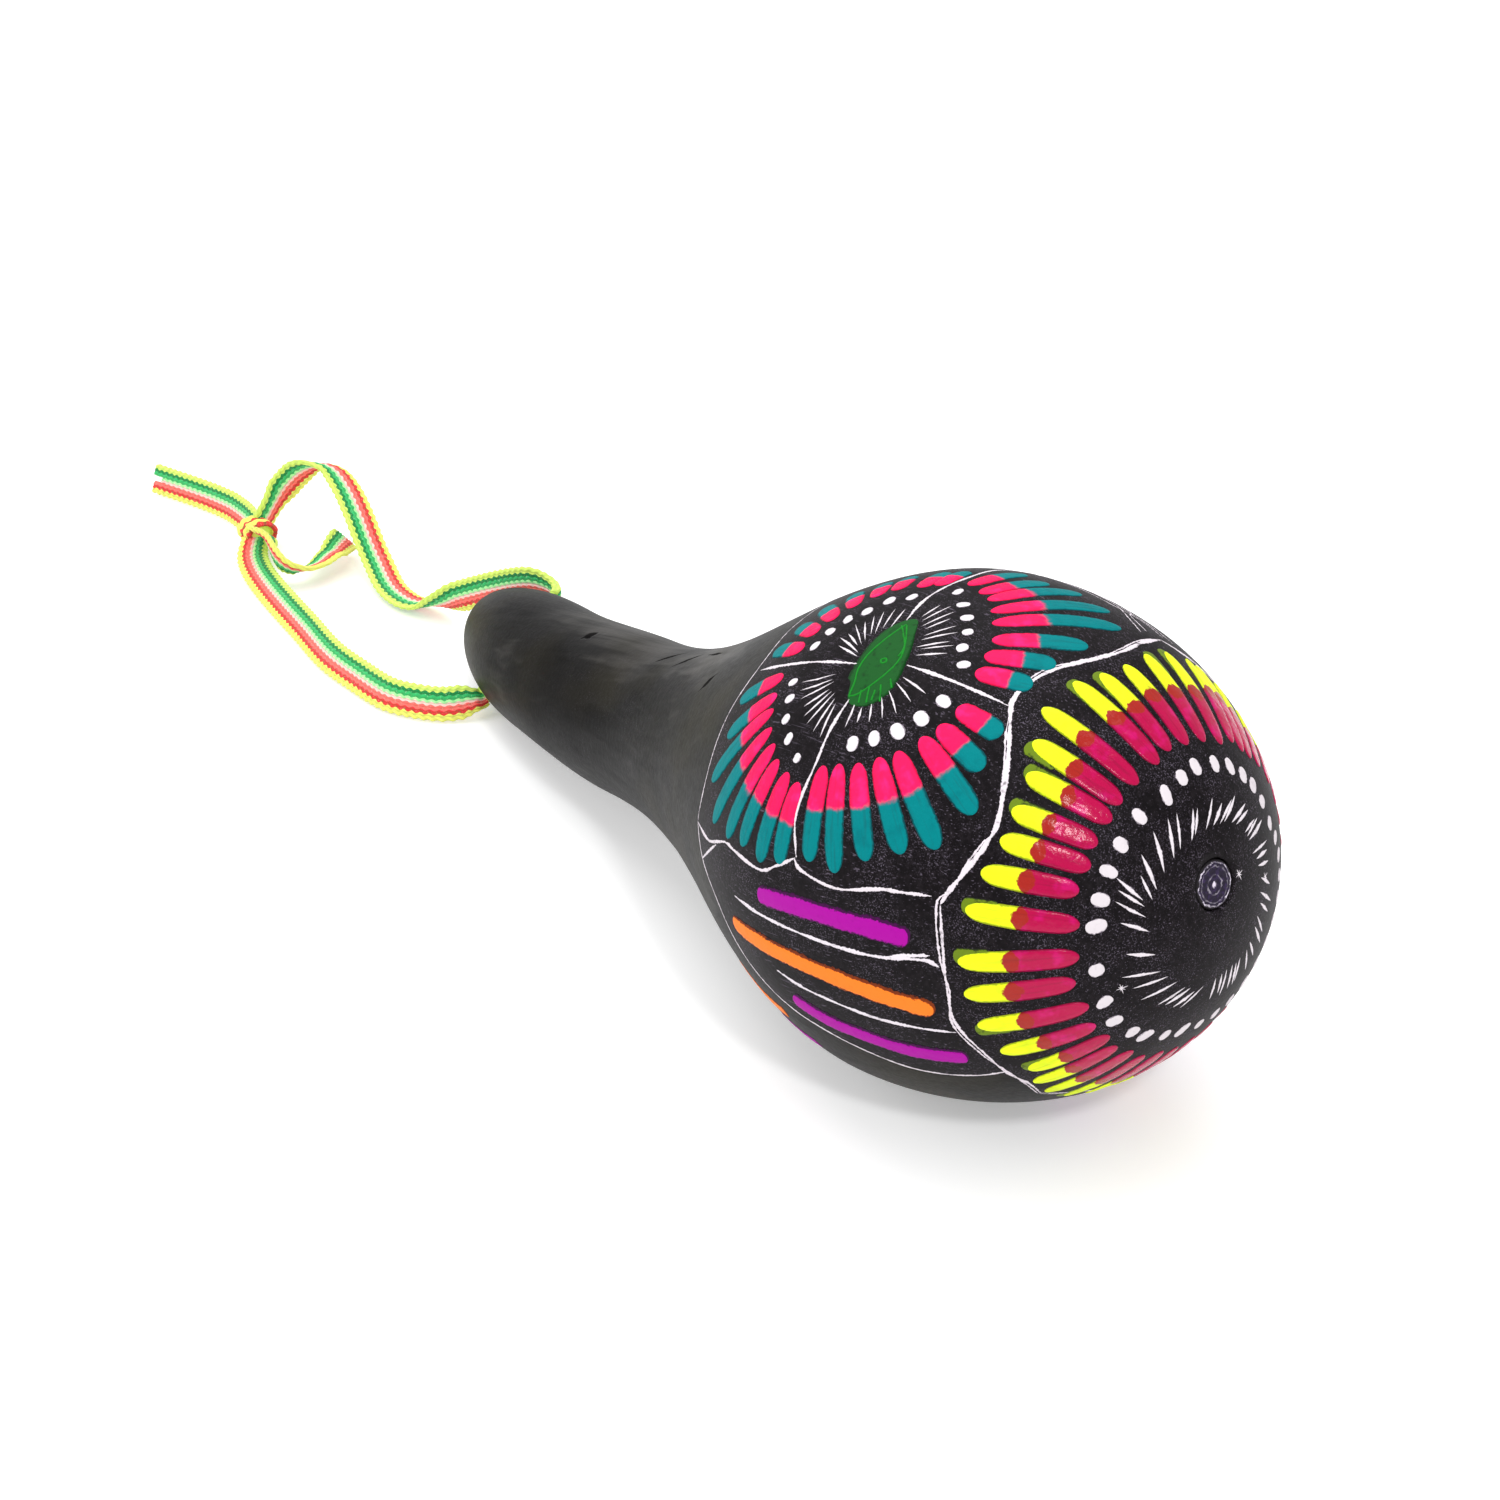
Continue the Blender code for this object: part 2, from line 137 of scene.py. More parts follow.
def even_steps(points: Sequence[Vector], step: float) -> list[Vector]:
    """The same route at even steps, measured on the first three coordinates.

    Args:
        points: A fine route.
        step: The wanted step, which is changed a little so that it goes in a whole number of times.

    Returns:
        Points at even steps, with both ends.
    """
    distances = [0.0]
    for start, end in zip(points, points[1:]):
        distances.append(distances[-1] + (end.to_3d() - start.to_3d()).length)
    count = max(round(distances[-1] / step), 1)
    steps = []
    index = 0
    for i in range(count + 1):
        wanted = distances[-1] * i / count
        while index < len(points) - 2 and distances[index + 1] < wanted:
            index += 1
        run = distances[index + 1] - distances[index]
        share = (wanted - distances[index]) / run if run else 0
        steps.append(points[index].lerp(points[index + 1], min(share, 1)))
    return steps


def stray(chance: Random, most: float) -> float:
    """A chance value up to so much either way."""
    return chance.uniform(-most, most)


def closed_round(turns: Sequence[float], more: int) -> list[float]:
    """Falling turns of a ring, with so many more at even steps where the ring is out of sight."""
    step = (turns[0] - 360 - turns[-1]) / (more + 1)
    return [*turns, *(turns[-1] + step * (i + 1) for i in range(more))]


def new_object(name: str, data: Any) -> Object:
    """A linked object at the origin."""
    obj = bpy.data.objects.new(name, data)
    bpy.context.scene.collection.objects.link(obj)
    return obj


@contextmanager
def edited(mesh: bpy.types.Mesh) -> Iterator[bmesh.types.BMesh]:
    """A mesh as an open bmesh, which is written back with every face shaded smooth."""
    form = bmesh.new()
    form.from_mesh(mesh)
    yield form
    form.to_mesh(mesh)
    form.free()
    mesh.shade_smooth()


def aimed(place: Vector, heading: Vector) -> Matrix:
    """The matrix that carries the origin to a place and turns Z to a heading."""
    return Matrix.Translation(place) @ heading.to_track_quat("Z", "Y").to_matrix().to_4x4()


def rod(name: str, start: Vector, end: Vector, radius: float, facets: int) -> Object:
    """A closed round rod from one point to another."""
    sizes = {"segments": facets, "radius1": radius, "radius2": radius, "depth": (end - start).length}
    mesh = bpy.data.meshes.new(name)
    with edited(mesh) as form:
        bmesh.ops.create_cone(form, cap_ends=True, matrix=aimed((start + end) / 2, end - start), **sizes)
    return new_object(name, mesh)


def apply_modifiers(obj: Object) -> None:
    """Gives an object the mesh that its modifiers make."""
    graph = bpy.context.evaluated_depsgraph_get()
    obj.data = bpy.data.meshes.new_from_object(obj.evaluated_get(graph))
    obj.modifiers.clear()


def remove(*objects: Object) -> None:
    """Deletes helper objects."""
    for obj in objects:
        bpy.data.objects.remove(obj)


def mount(piece: Object, slot: str, *nodes: str, material: Material | None = None) -> Object:
    """Fastens a piece to the gourd's body, with the nodes that it stands for and its material."""
    if material:
        piece.data.materials.clear()
        piece.data.materials.append(material)
    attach(piece, GOURD_BODY)
    if nodes:
        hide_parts(*nodes)
    LOG.info("%s: %d faces", piece.name, len(piece.data.polygons))
    return piece


def operator(operation: str, reflected: bool = False) -> Callable[[Socket, Any], Socket]:
    """A method that adds a Math node, with the other value first where it is reflected."""

    def method(self: Socket, other: Any) -> Socket:
        """The node's result."""
        return self.math(operation, *((other, self) if reflected else (self, other)))

    return method


class Socket:
    """An output of a node, on which Python's operators add Math nodes."""

    __add__ = operator("ADD")
    __radd__ = operator("ADD", reflected=True)
    __sub__ = operator("SUBTRACT")
    __rsub__ = operator("SUBTRACT", reflected=True)
    __mul__ = operator("MULTIPLY")
    __rmul__ = operator("MULTIPLY", reflected=True)
    __truediv__ = operator("DIVIDE")
    __rtruediv__ = operator("DIVIDE", reflected=True)
    at_most = operator("MINIMUM")
    at_least = operator("MAXIMUM")

    def __init__(self, graph: Graph, plug: bpy.types.NodeSocket) -> None:
        """Keeps the graph and the node's own socket."""
        self.graph = graph
        self.plug = plug

    def math(self, operation: str, *values: Any) -> Socket:
        """A Math node on values, in their order."""
        return self.graph.node("ShaderNodeMath", {"operation": operation}, dict(enumerate(values)))[0]

    def __abs__(self) -> Socket:
        """The value without its sign."""
        return self.math("ABSOLUTE", self)

    def above(self, low: Any, high: Any) -> Socket:
        """0 below low and 1 above high, with a smooth rise between them."""
        inputs = {"Value": self, "From Min": low, "From Max": high}
        return self.graph.node("ShaderNodeMapRange", {"interpolation_type": "SMOOTHSTEP"}, inputs)["Result"]


class Outputs:
    """The outputs of a node, by place, identifier or name."""

    def __init__(self, graph: Graph, node: bpy.types.Node) -> None:
        """Keeps the graph and the node."""
        self.graph = graph
        self.node = node

    def __getitem__(self, key: int | str) -> Socket:
        """One output as a wrapped socket."""
        return Socket(self.graph, Graph.pick(self.node.outputs, key))


class Graph:
    """Adds nodes to a tree."""

    def __init__(self, tree: bpy.types.NodeTree) -> None:
        """Keeps the tree."""
        self.tree = tree

    @staticmethod
    def pick(sockets: Any, key: int | str) -> bpy.types.NodeSocket:
        """The socket at a place, or else with this identifier, or else with this name."""
        if isinstance(key, int):
            return sockets[key]
        found = [socket for socket in sockets if socket.identifier == key]
        return found[0] if found else sockets[key]

    def node(
        self, kind: str, settings: dict[str, Any] | None = None, inputs: dict[Any, Any] | None = None
    ) -> Outputs:
        """Adds a node.

        Args:
            kind: The node's type.
            settings: Its properties, which are set first; "stops" are a ramp's (place, colour) pairs.
            inputs: A value or a wrapped socket for each input, by place, identifier or name.

        Returns:
            The node's outputs.
        """
        made = self.tree.nodes.new(kind)
        for name, value in (settings or {}).items():
            if name == "stops":
                self._set_stops(made.color_ramp, value)
            else:
                setattr(made, name, value)
        for key, value in (inputs or {}).items():
            socket = self.pick(made.inputs, key)
            if isinstance(value, Socket):
                self.tree.links.new(value.plug, socket)
            else:
                socket.default_value = value
        return Outputs(self, made)

    @staticmethod
    def _set_stops(ramp: bpy.types.ColorRamp, stops: Sequence[tuple[float, Colour]]) -> None:
        """Sets a ramp's stops."""
        while len(ramp.elements) < len(stops):
            ramp.elements.new(1.0)
        for element, (place, colour) in zip(ramp.elements, stops):
            element.position = place
            element.color = colour

    def vector(self, operation: str, *values: Any, scale: Any = None) -> Socket:
        """A Vector Math node on values, in their order."""
        inputs = dict(enumerate(values))
        if scale is not None:
            inputs["Scale"] = scale
        result = "Value" if operation in ("LENGTH", "DOT_PRODUCT") else "Vector"
        return self.node("ShaderNodeVectorMath", {"operation": operation}, inputs)[result]

    def along_line(self, place: Socket, middle: Vector, heading: Vector) -> tuple[Socket, Socket]:
        """How far a point lies from a middle along a heading, and how far from that line."""
        away = self.vector("SUBTRACT", place, middle)
        along = self.vector("DOT_PRODUCT", away, heading)
        aside = self.vector("SUBTRACT", away, self.vector("SCALE", heading, scale=along))
        return along, self.vector("LENGTH", aside)

    def noise(self, place: Socket, scale: float, detail: float = 2.0, distortion: float = 0.0) -> Socket:
        """Noise of about 0.5 at a place."""
        inputs = {"Vector": place, "Scale": scale, "Detail": detail, "Distortion": distortion}
        return self.node("ShaderNodeTexNoise", {}, inputs)["Fac"]

    def mix(self, factor: Any, first: Any, second: Any) -> Socket:
        """A colour between two colours."""
        inputs = {"Factor_Float": factor, "A_Color": first, "B_Color": second}
        return self.node("ShaderNodeMix", {"data_type": "RGBA"}, inputs)["Result_Color"]


class MaterialGraph(Graph):
    """The nodes of a material with one Principled shader."""

    def __init__(self, name: str) -> None:
        """Starts an empty material."""
        self.material = bpy.data.materials.new(name)
        self.material.use_nodes = True
        self.material.node_tree.nodes.clear()
        super().__init__(self.material.node_tree)

    def place(self) -> Socket:
        """Where the point is, in the object's coordinates."""
        return self.node("ShaderNodeTexCoord")["Object"]

    def mapped(self, place: Socket, turns: Any, shift: Any = (0, 0, 0), scale: Any = (1, 1, 1)) -> Socket:
        """A place scaled, turned by three angles in radians and shifted."""
        inputs = {"Vector": place, "Rotation": turns, "Location": shift, "Scale": scale}
        return self.node("ShaderNodeMapping", {"vector_type": "POINT"}, inputs)["Vector"]

    def attribute(self, name: str) -> Outputs:
        """A vector attribute's three parts."""
        stored = self.node("ShaderNodeAttribute", {"attribute_name": name})["Vector"]
        return self.node("ShaderNodeSeparateXYZ", {}, {"Vector": stored})

    def bump(self, height: Socket, distance: float, strength: float = 1.0) -> Socket:
        """A normal tipped by a height of 0 to 1 over a distance."""
        inputs = {"Height": height, "Distance": distance, "Strength": strength}
        return self.node("ShaderNodeBump", {}, inputs)["Normal"]

    def finish(
        self,
        colour: Socket,
        roughness: Any,
        normal: Socket,
        specular: float = 0.5,
        glow: float = 0.0,
        more: dict[str, Any] | None = None,
        painted_shade: Socket | None = None,
    ) -> Material:
        """Adds the shader.

        Args:
            colour: Its base colour.
            roughness: Its roughness.
            normal: Its normal.
            specular: Its level of reflection.
            glow: How much it glows in its own colour: painted light that keeps bright paint and yarn lit
                even in shade.
            more: Other inputs, by name.
            painted_shade: Where it is painted black instead, as painted shade.

        Returns:
            The material.
        """
        inputs = {"Base Color": colour, "Roughness": roughness, "Normal": normal}
        inputs["Specular IOR Level"] = specular
        if glow:
            # Painted light: an even glow in the surface's own colour.
            inputs |= {"Emission Color": colour, "Emission Strength": glow}
        shader = self.node("ShaderNodeBsdfPrincipled", {}, inputs | (more or {}))["BSDF"]
        if painted_shade:
            # Painted shade: flat black is mixed in where it is given.
            black = self.node("ShaderNodeBsdfDiffuse", {}, {"Color": srgb(8, 7, 7)})["BSDF"]
            shader = self.node("ShaderNodeMixShader", {}, {0: painted_shade, 1: shader, 2: black})[0]
        self.node("ShaderNodeOutputMaterial", {}, {"Surface": shader})
        return self.material


class GeometryGraph(Graph):
    """A Geometry Nodes tree with named inputs, one of them Material, which makes plain mesh objects."""

    def __init__(self, name: str, inputs: dict[str, str]) -> None:
        """Starts a tree.

        Args:
            name: The tree's name.
            inputs: Each input's kind of socket, by its name.
        """
        tree = bpy.data.node_groups.new(name, "GeometryNodeTree")
        for label, kind in {**inputs, "Material": "Material"}.items():
            tree.interface.new_socket(label, in_out="INPUT", socket_type=f"NodeSocket{kind}")
        tree.interface.new_socket("Geometry", in_out="OUTPUT", socket_type="NodeSocketGeometry")
        super().__init__(tree)
        self.inputs = self.node("NodeGroupInput")

    def geometry_of(self, label: str) -> Socket:
        """The geometry of the object in an input."""
        return self.node("GeometryNodeObjectInfo", {}, {"Object": self.inputs[label]})["Geometry"]

    def stored(self, geometry: Socket, name: str, kind: str, value: Any) -> Socket:
        """The geometry with a named point attribute."""
        settings = {"data_type": kind, "domain": "POINT"}
        inputs = {"Geometry": geometry, "Name": name, "Value": value}
        return self.node("GeometryNodeStoreNamedAttribute", settings, inputs)["Geometry"]

    def finish(self, geometry: Socket) -> None:
        """Ends the tree in smooth, real geometry with the material."""
        smooth = self.node("GeometryNodeSetShadeSmooth", {}, {"Geometry": geometry})[0]
        real = self.node("GeometryNodeRealizeInstances", {}, {"Geometry": smooth})[0]
        inputs = {"Geometry": real, "Material": self.inputs["Material"]}
        dressed = self.node("GeometryNodeSetMaterial", {}, inputs)[0]
        self.node("NodeGroupOutput", {}, {"Geometry": dressed})

    def make(self, name: str, values: dict[str, Any]) -> Object:
        """A plain mesh object from the tree.

        Args:
            name: The object's name.
            values: A value for each input, by its name.

        Returns:
            The object, with no modifier left.
        """
        obj = new_object(name, bpy.data.meshes.new(name))
        modifier = obj.modifiers.new(name, "NODES")
        modifier.node_group = self.tree
        for item in self.tree.interface.items_tree:
            if item.in_out == "INPUT":
                modifier[item.identifier] = values[item.name]
        apply_modifiers(obj)
        return obj


@dataclass(frozen=True)
class GourdForm:
    """The gourd's turned outline and the bend of its neck, about the axis that its seeds tumble on."""

    centre: Vector
    axis: Vector
    bowl_radius: float = 44.0 * MM
    crown_length: float = 55.0 * MM
    shoulder_length: float = 97.0 * MM
    shoulder_power: float = 1.2
    neck_root_radius: float = 16.3 * MM
    neck_length: float = 43.0 * MM
    neck_end_radius: float = 14.6 * MM
    neck_cap_length: float = 48.0 * MM
    neck_sweep: float = 24.0 * MM
    sweep_start: float = 58.2 * MM
    crown_rings: int = 44
    cap_rings: int = 40

    @property
    def up(self) -> Vector:
        """Square to the axis, upwards."""
        return (UP - self.axis * UP.dot(self.axis)).normalized()

    @property
    def near(self) -> Vector:
        """Square to the axis, towards -Y."""
        return self.axis.cross(self.up)

    @property
    def cap_start(self) -> float:
        """Station at which the neck's rounded end starts."""
        return -self.shoulder_length - self.neck_length

    @property
    def tip(self) -> float:
        """Station of the neck's end."""
        return self.cap_start - self.neck_cap_length

    def radius(self, station: float) -> float:
        """Radius of the ring at a station along the axis."""
        if station >= 0:
            return self.bowl_radius * math.sqrt(max(1 - (station / self.crown_length) ** 2, 0))
        if station >= -self.shoulder_length:
            share = (1 + station / self.shoulder_length) ** self.shoulder_power
            return between((self.neck_root_radius, self.bowl_radius), smoothstep(share))
        if station >= self.cap_start:
            share = smoothstep((station - self.cap_start) / self.neck_length)
            return between((self.neck_end_radius, self.neck_root_radius), share)
        past = (station - self.cap_start) / self.neck_cap_length
        return self.neck_end_radius * math.sqrt(max(1 - past**2, 0))

    def centre_line(self, station: float) -> Vector:
        """The ring's middle at a station, on the bent axis."""
        share = max(-station - self.sweep_start, 0) / (-self.tip - self.sweep_start)
        return self.centre + self.axis * station - self.near * self.neck_sweep * share**2

    def stations(self, ring_step: float) -> list[float]:
        """Stations from the neck's end to the blossom end, at even steps, closer at the rounded ends."""

        def rounded(count: int) -> list[float]:
            """Shares of a rounded end's length."""
            return [math.sin(math.pi / 2 * i / count) for i in range(count + 1)]

        body = round(-self.cap_start / ring_step)
        trunk = [self.cap_start * i / body for i in range(body - 1, 0, -1)]
        cap = [self.cap_start - self.neck_cap_length * share for share in reversed(rounded(self.cap_rings))]
        return [*cap, *trunk, *(self.crown_length * share for share in rounded(self.crown_rings))]

    def heading(self, turn: float, polar: float) -> Vector:
        """The direction of a place on the gourd, from the middle of the bowl."""
        turn, polar = math.radians(turn), math.radians(polar)
        across = self.up * math.cos(turn) + self.near * math.sin(turn)
        return self.axis * math.cos(polar) + across * math.sin(polar)

    def spot(self, turn: float, polar: float) -> Vector:
        """A place on the gourd, carried to the sphere on which strokes are planned."""
        return self.centre + self.heading(turn, polar) * self.bowl_radius

    def angles(self, place: Vector) -> Degrees:
        """The turn and polar angle of a point."""
        away = (place - self.centre).normalized()
        turn = math.degrees(math.atan2(away.dot(self.near), away.dot(self.up)))
        return turn, math.degrees(math.acos(min(max(away.dot(self.axis), -1), 1)))


@dataclass(frozen=True)
class MotifFrame:
    """Turns and reaches about a pole on the gourd, or about its mirror image across a turn of the gourd."""

    gourd: GourdForm
    pole: Vector
    reference: Vector
    mirror_turn: float | None = None

    def spot(self, turn: float, reach: float) -> Vector:
        """A place at a clockwise turn from the reference and at an angle from the pole."""
        level = (self.reference - self.pole * self.reference.dot(self.pole)).normalized()
        side = level.cross(self.pole)
        turn, reach = math.radians(turn), math.radians(reach)
        across = level * math.cos(turn) + side * math.sin(turn)
        heading = self.pole * math.cos(reach) + across * math.sin(reach)
        place = self.gourd.centre + heading * self.gourd.bowl_radius
        if self.mirror_turn is None:
            return place
        around, polar = self.gourd.angles(place)
        return self.gourd.spot(2 * self.mirror_turn - around, polar)

    def flat_spot(self, ahead: float, aside: float) -> Vector:
        """A place so many degrees towards the reference and so many to its right."""
        return self.spot(math.degrees(math.atan2(aside, ahead)), math.hypot(ahead, aside))


@dataclass(frozen=True)
class RindFinish:
    """Charred and waxed rind: black paint in the panels, brushed charcoal with pale streaks elsewhere,
    painted paler over the top as painted light and darker on the neck's near side and in its dents as
    painted shade.
    """

    gourd: GourdForm
    paint: Colour = srgb(13, 9, 12)
    fleck: Colour = srgb(112, 103, 118)
    charcoal: tuple[tuple[float, Colour], ...] = (
        (0.40, srgb(7, 6, 6)), (0.50, srgb(19, 18, 18)), (0.62, srgb(19, 18, 18)), (0.84, srgb(58, 56, 54)),
    )
    olive: Colour = srgb(44, 40, 26)
    paint_pale: Colour = srgb(34, 29, 33)
    streak_scales: tuple[float, float, float] = (420.0, 420.0, 26.0)
    hair_scales: tuple[float, float, float] = (3200.0, 3200.0, 150.0)
    hair_turns: tuple[tuple[float, float, float], ...] = ((0.5, 0.3, 0.9), (1.2, -0.4, 0.2))
    # Dents whose hollows are painted black as painted shade: two ends and a half width each, in millimetres.
    shaded_dents: tuple[Patch, ...] = (
        (Vector((-48.2, -1.3, 36.6)), Vector((-45.8, 2.2, 38.2)), 1.7),
        (Vector((11.9, -17.6, 54.0)), Vector((15.5, -15.2, 58.6)), 1.1),
        (Vector((-11.0, -6.4, 46.5)), Vector((-5.5, -2.5, 50.2)), 0.8),
        (Vector((-4.0, -3.5, 51.0)), Vector((6.0, -6.5, 56.0)), 0.6),
        (Vector((-19.5, -5.0, 43.5)), Vector((-13.5, 0.4, 46.8)), 0.6),
    )
    # Painted shade, partly the rind's own darker char: a patch low on the neck's near side that goes black.
    char_and_shade: Patch = (Vector((-104, 0, 16)), Vector((-2, -19, 38)), 20.0)
    # Painted light from above, with more wax: a patch over the top of the neck and shoulder that is paler
    # and glossier.
    wax_and_top_light: Patch = (Vector((-116, 18, 24)), Vector((56, -19, 70)), 14.0)

    @staticmethod
    def _reach(g: MaterialGraph, place: Socket, patch: Patch) -> Socket:
        """How far a point lies from a patch, where 1 is its rim; a patch has two ends and a half width."""
        start, end, half_width = patch
        along, aside = g.along_line(place, (start + end) / 2 * MM, (end - start).normalized())
        return abs(along) / ((end - start).length / 2 * MM) + aside / (half_width * MM)

    def _shaded_dent(self, g: MaterialGraph, place: Socket) -> Socket:
        """How far a point lies in one of the dents, from 0 to 1."""
        ragged = (g.noise(place, 700.0, 3.0) - 0.5) * 0.9
        dents = [1 - (self._reach(g, place, patch) + ragged).above(0.6, 1.1) for patch in self.shaded_dents]
        return functools.reduce(Socket.at_least, dents)

    def material(self) -> Material:
        """The finish as a material; the mesh carries how far it is painted."""
        g = MaterialGraph("blackened_rind")
        place = g.place()
        turn = Matrix((-self.gourd.up, -self.gourd.near, self.gourd.axis))
        local = g.mapped(place, turn.to_euler(), -(turn @ self.gourd.centre))
        painted = g.attribute("painted")["X"]
        bare = 1 - painted
        streak = g.noise(g.vector("MULTIPLY", local, self.streak_scales), 1.0, 4.0, 0.4)
        cloud = g.noise(local, 60.0, 3.0)
        grain = g.noise(local, 1100.0, 3.0)
        # Painted shade: black low on the neck's near side, partly the rind's own darker char.
        char_and_shade = (1 - self._reach(g, place, self.char_and_shade).above(0.1, 1.1)) * bare
        # Painted light: the bare rind goes paler and waxier over the top of the neck and shoulder.
        wax_and_top_light = (1 - self._reach(g, place, self.wax_and_top_light).above(0.4, 1.1)) * bare
        tone = streak * 0.55 + cloud * 0.75 + grain * 0.15 + wax_and_top_light * 0.28 - 0.22
        charred = g.node("ShaderNodeValToRGB", {"stops": self.charcoal}, {"Fac": tone})["Color"]
        charred = g.mix(g.noise(local, 34.0, 2.0).above(0.46, 0.7) * 0.55, charred, self.olive)
        speck = g.noise(local, 4200.0, 1.0).above(0.56, 0.72) * g.noise(local, 150.0, 2.0).above(0.35, 0.7)
        hairs = [g.mapped(local, turned, scale=self.hair_scales) for turned in self.hair_turns]
        hair = sum(g.noise(drawn, 1.0, 1.0).above(0.66, 0.76) for drawn in hairs)
        marks = speck * 0.65 * (0.25 + painted * 0.75) + hair * painted * 0.45
        black = g.mix(grain.above(0.4, 0.75) * 0.6, self.paint, self.paint_pale)
        # Painted shade in the dents: they go black as well as being pressed in.
        shaded_dent = self._shaded_dent(g, place)
        height = grain * 0.5 + streak * bare * 0.4 - shaded_dent * 3
        return g.finish(
            g.mix(marks, g.mix(painted, charred, black), self.fleck),
            0.44 + grain * 0.16 + marks * 0.2,
            g.bump(height, 0.2 * MM, 0.6),
            specular=0.08,
            more={"Coat Weight": bare * streak * (0.1 + wax_and_top_light * 0.3), "Coat Roughness": 0.4},
            painted_shade=(shaded_dent * 0.85).at_least(char_and_shade * 0.55),
        )


@dataclass(frozen=True)
class PetalFinish:
    """Two-tone petal paint: an inner coat and an outer coat that may lap, both a little lumpy."""

    name: str
    inner: Colour
    inner_touch: Colour
    outer: Colour
    rim: Colour
    lap: Colour
    joint: float
    lap_length: float
    inner_roughness: float
    gloss: float
    # Painted light: how much the paint glows in its own colour.
    glow: float
    outer_roughness: float = 0.5
    ground: Colour = srgb(30, 14, 24)
    lumps: float = 0.12 * MM
    bow: float = 0.07
    blend: float = 0.01

    def material(self) -> Material:
        """The finish as a material; the mesh carries the place along and across each stroke and its film."""
        g = MaterialGraph(self.name)
        place = g.place()
        stroke = g.attribute("stroke")
        along, across, shade = stroke["X"], stroke["Y"], stroke["Z"]
        fine = g.noise(place, 1500.0, 3.0)
        broad = g.noise(place, 380.0, 2.0)
        joint = self.joint + shade * SHADE_REACH + (fine - 0.5) * 0.06 + (broad - 0.5) * 0.08
        bow = across * across * self.bow
        outer_on = (along - (joint - self.lap_length + bow)).above(-self.blend, self.blend)
        inner_off = (along - (joint + self.lap_length - bow)).above(-self.blend, self.blend)
        drawn = g.node("ShaderNodeCombineXYZ", {}, {"X": along * 2.2, "Y": across * 3.2, "Z": shade * 30})[0]
        brush = g.noise(drawn, 1.0, 3.0).above(0.5, 0.72)
        edge = (1 - g.attribute("film")["X"] + (fine - 0.5) * 0.9).above(0.45, 0.85)
        inner = g.mix(broad.above(0.5, 0.72) * 0.7, self.inner, self.inner_touch)
        outer = g.mix(edge * 0.75 + broad.above(0.5, 0.75) * 0.3, self.outer, self.rim)
        colour = g.mix(inner_off, g.mix(outer_on, inner, self.lap), outer)
        return g.finish(
            g.mix(edge * 0.35 + brush * (1 - edge) * 0.2, colour, self.ground),
            self.inner_roughness + inner_off * (self.outer_roughness - self.inner_roughness) + fine * 0.1,
            g.bump(g.noise(place, 1300.0, 3.0), self.lumps, 0.9),
            specular=self.gloss,
            glow=self.glow,
        )


@dataclass(frozen=True)
class FlatPaint:
    """One coat of paint or a scratch, with a ragged rim and thin places that go towards a second colour."""

    name: str
    colour: Colour
    worn: Colour
    roughness: float = 0.5
    rim: float = 0.9
    thin: float = 0.3
    ragged: float = 1.2
    # Painted light: how much the paint glows in its own colour.
    glow: float = 0.0

    def material(self) -> Material:
        """The finish as a material; the mesh carries the film of each stroke."""
        g = MaterialGraph(self.name)
        place = g.place()
        fine = g.noise(place, 2300.0, 3.0)
        edge = (1 - g.attribute("film")["X"] + (fine - 0.5) * self.ragged).above(0.5, 0.8)
        lumps = g.noise(place, 900.0, 3.0)
        wear = edge * self.rim + lumps.above(0.55, 0.75) * self.thin
        colour = g.mix(wear.at_most(1.0), self.colour, self.worn)
        return g.finish(colour, self.roughness + lumps * 0.1, g.bump(lumps, 0.1 * MM, 0.5), 0.12, self.glow)


@dataclass(frozen=True)
class PegFinish:
    """Dark stained wood with a scratched ring and star on its face."""

    middle: Vector
    heading: Vector
    stain: Colour = srgb(22, 12, 36)
    stain_pale: Colour = srgb(62, 44, 90)
    scratch: Colour = srgb(222, 212, 228)
    rim: Colour = srgb(24, 20, 24)
    rings: tuple[tuple[float, float], ...] = ((1.5 * MM, 0.35), (2.85 * MM, 0.25), (3.4 * MM, 1.0))
    ring_half_width: float = 0.14 * MM
    rim_radii: tuple[float, float] = (3.4 * MM, 3.6 * MM)
    star_radius: float = 0.5 * MM

    def material(self) -> Material:
        """The finish as a material."""
        g = MaterialGraph("stained_peg")
        place = g.place()
        along, reach = g.along_line(place, self.middle, self.heading)
        rough = (g.noise(place, 1300.0, 3.0) - 0.5) * (0.9 * MM)
        broken = 0.15 + g.noise(place, 1100.0, 2.0).above(0.38, 0.6) * 0.85
        mark = 1 - (reach + rough * 1.2).above(self.star_radius / 2, self.star_radius)
        for radius, strength in self.rings:
            off = abs(reach + rough - radius)
            mark += (1 - off.above(self.ring_half_width / 2, self.ring_half_width)) * broken * strength
        face = along.above(-0.5 * MM, -0.2 * MM)
        grain = g.noise(place, 1600.0, 3.0)
        stain = g.mix(grain.above(0.45, 0.75) * 0.6, self.stain, self.stain_pale)
        stain = g.mix((reach + rough).above(*self.rim_radii), stain, self.rim)
        colour = g.mix(mark.at_most(1.0) * face, stain, self.scratch)
        return g.finish(colour, 0.5 + grain * 0.2, g.bump(grain, 0.2 * MM, 0.7), 0.2)


@dataclass(frozen=True)
class SeedFinish:
    """Dry brown seed coat."""

    dark: Colour = srgb(92, 58, 32)
    pale: Colour = srgb(150, 105, 62)

    def material(self) -> Material:
        """The finish as a material."""
        g = MaterialGraph("dry_seed")
        mottle = g.noise(g.place(), 900.0, 4.0)
        colour = g.mix(mottle, self.dark, self.pale)
        return g.finish(colour, 0.55 + mottle * 0.15, g.bump(mottle, 0.1 * MM, 0.5))


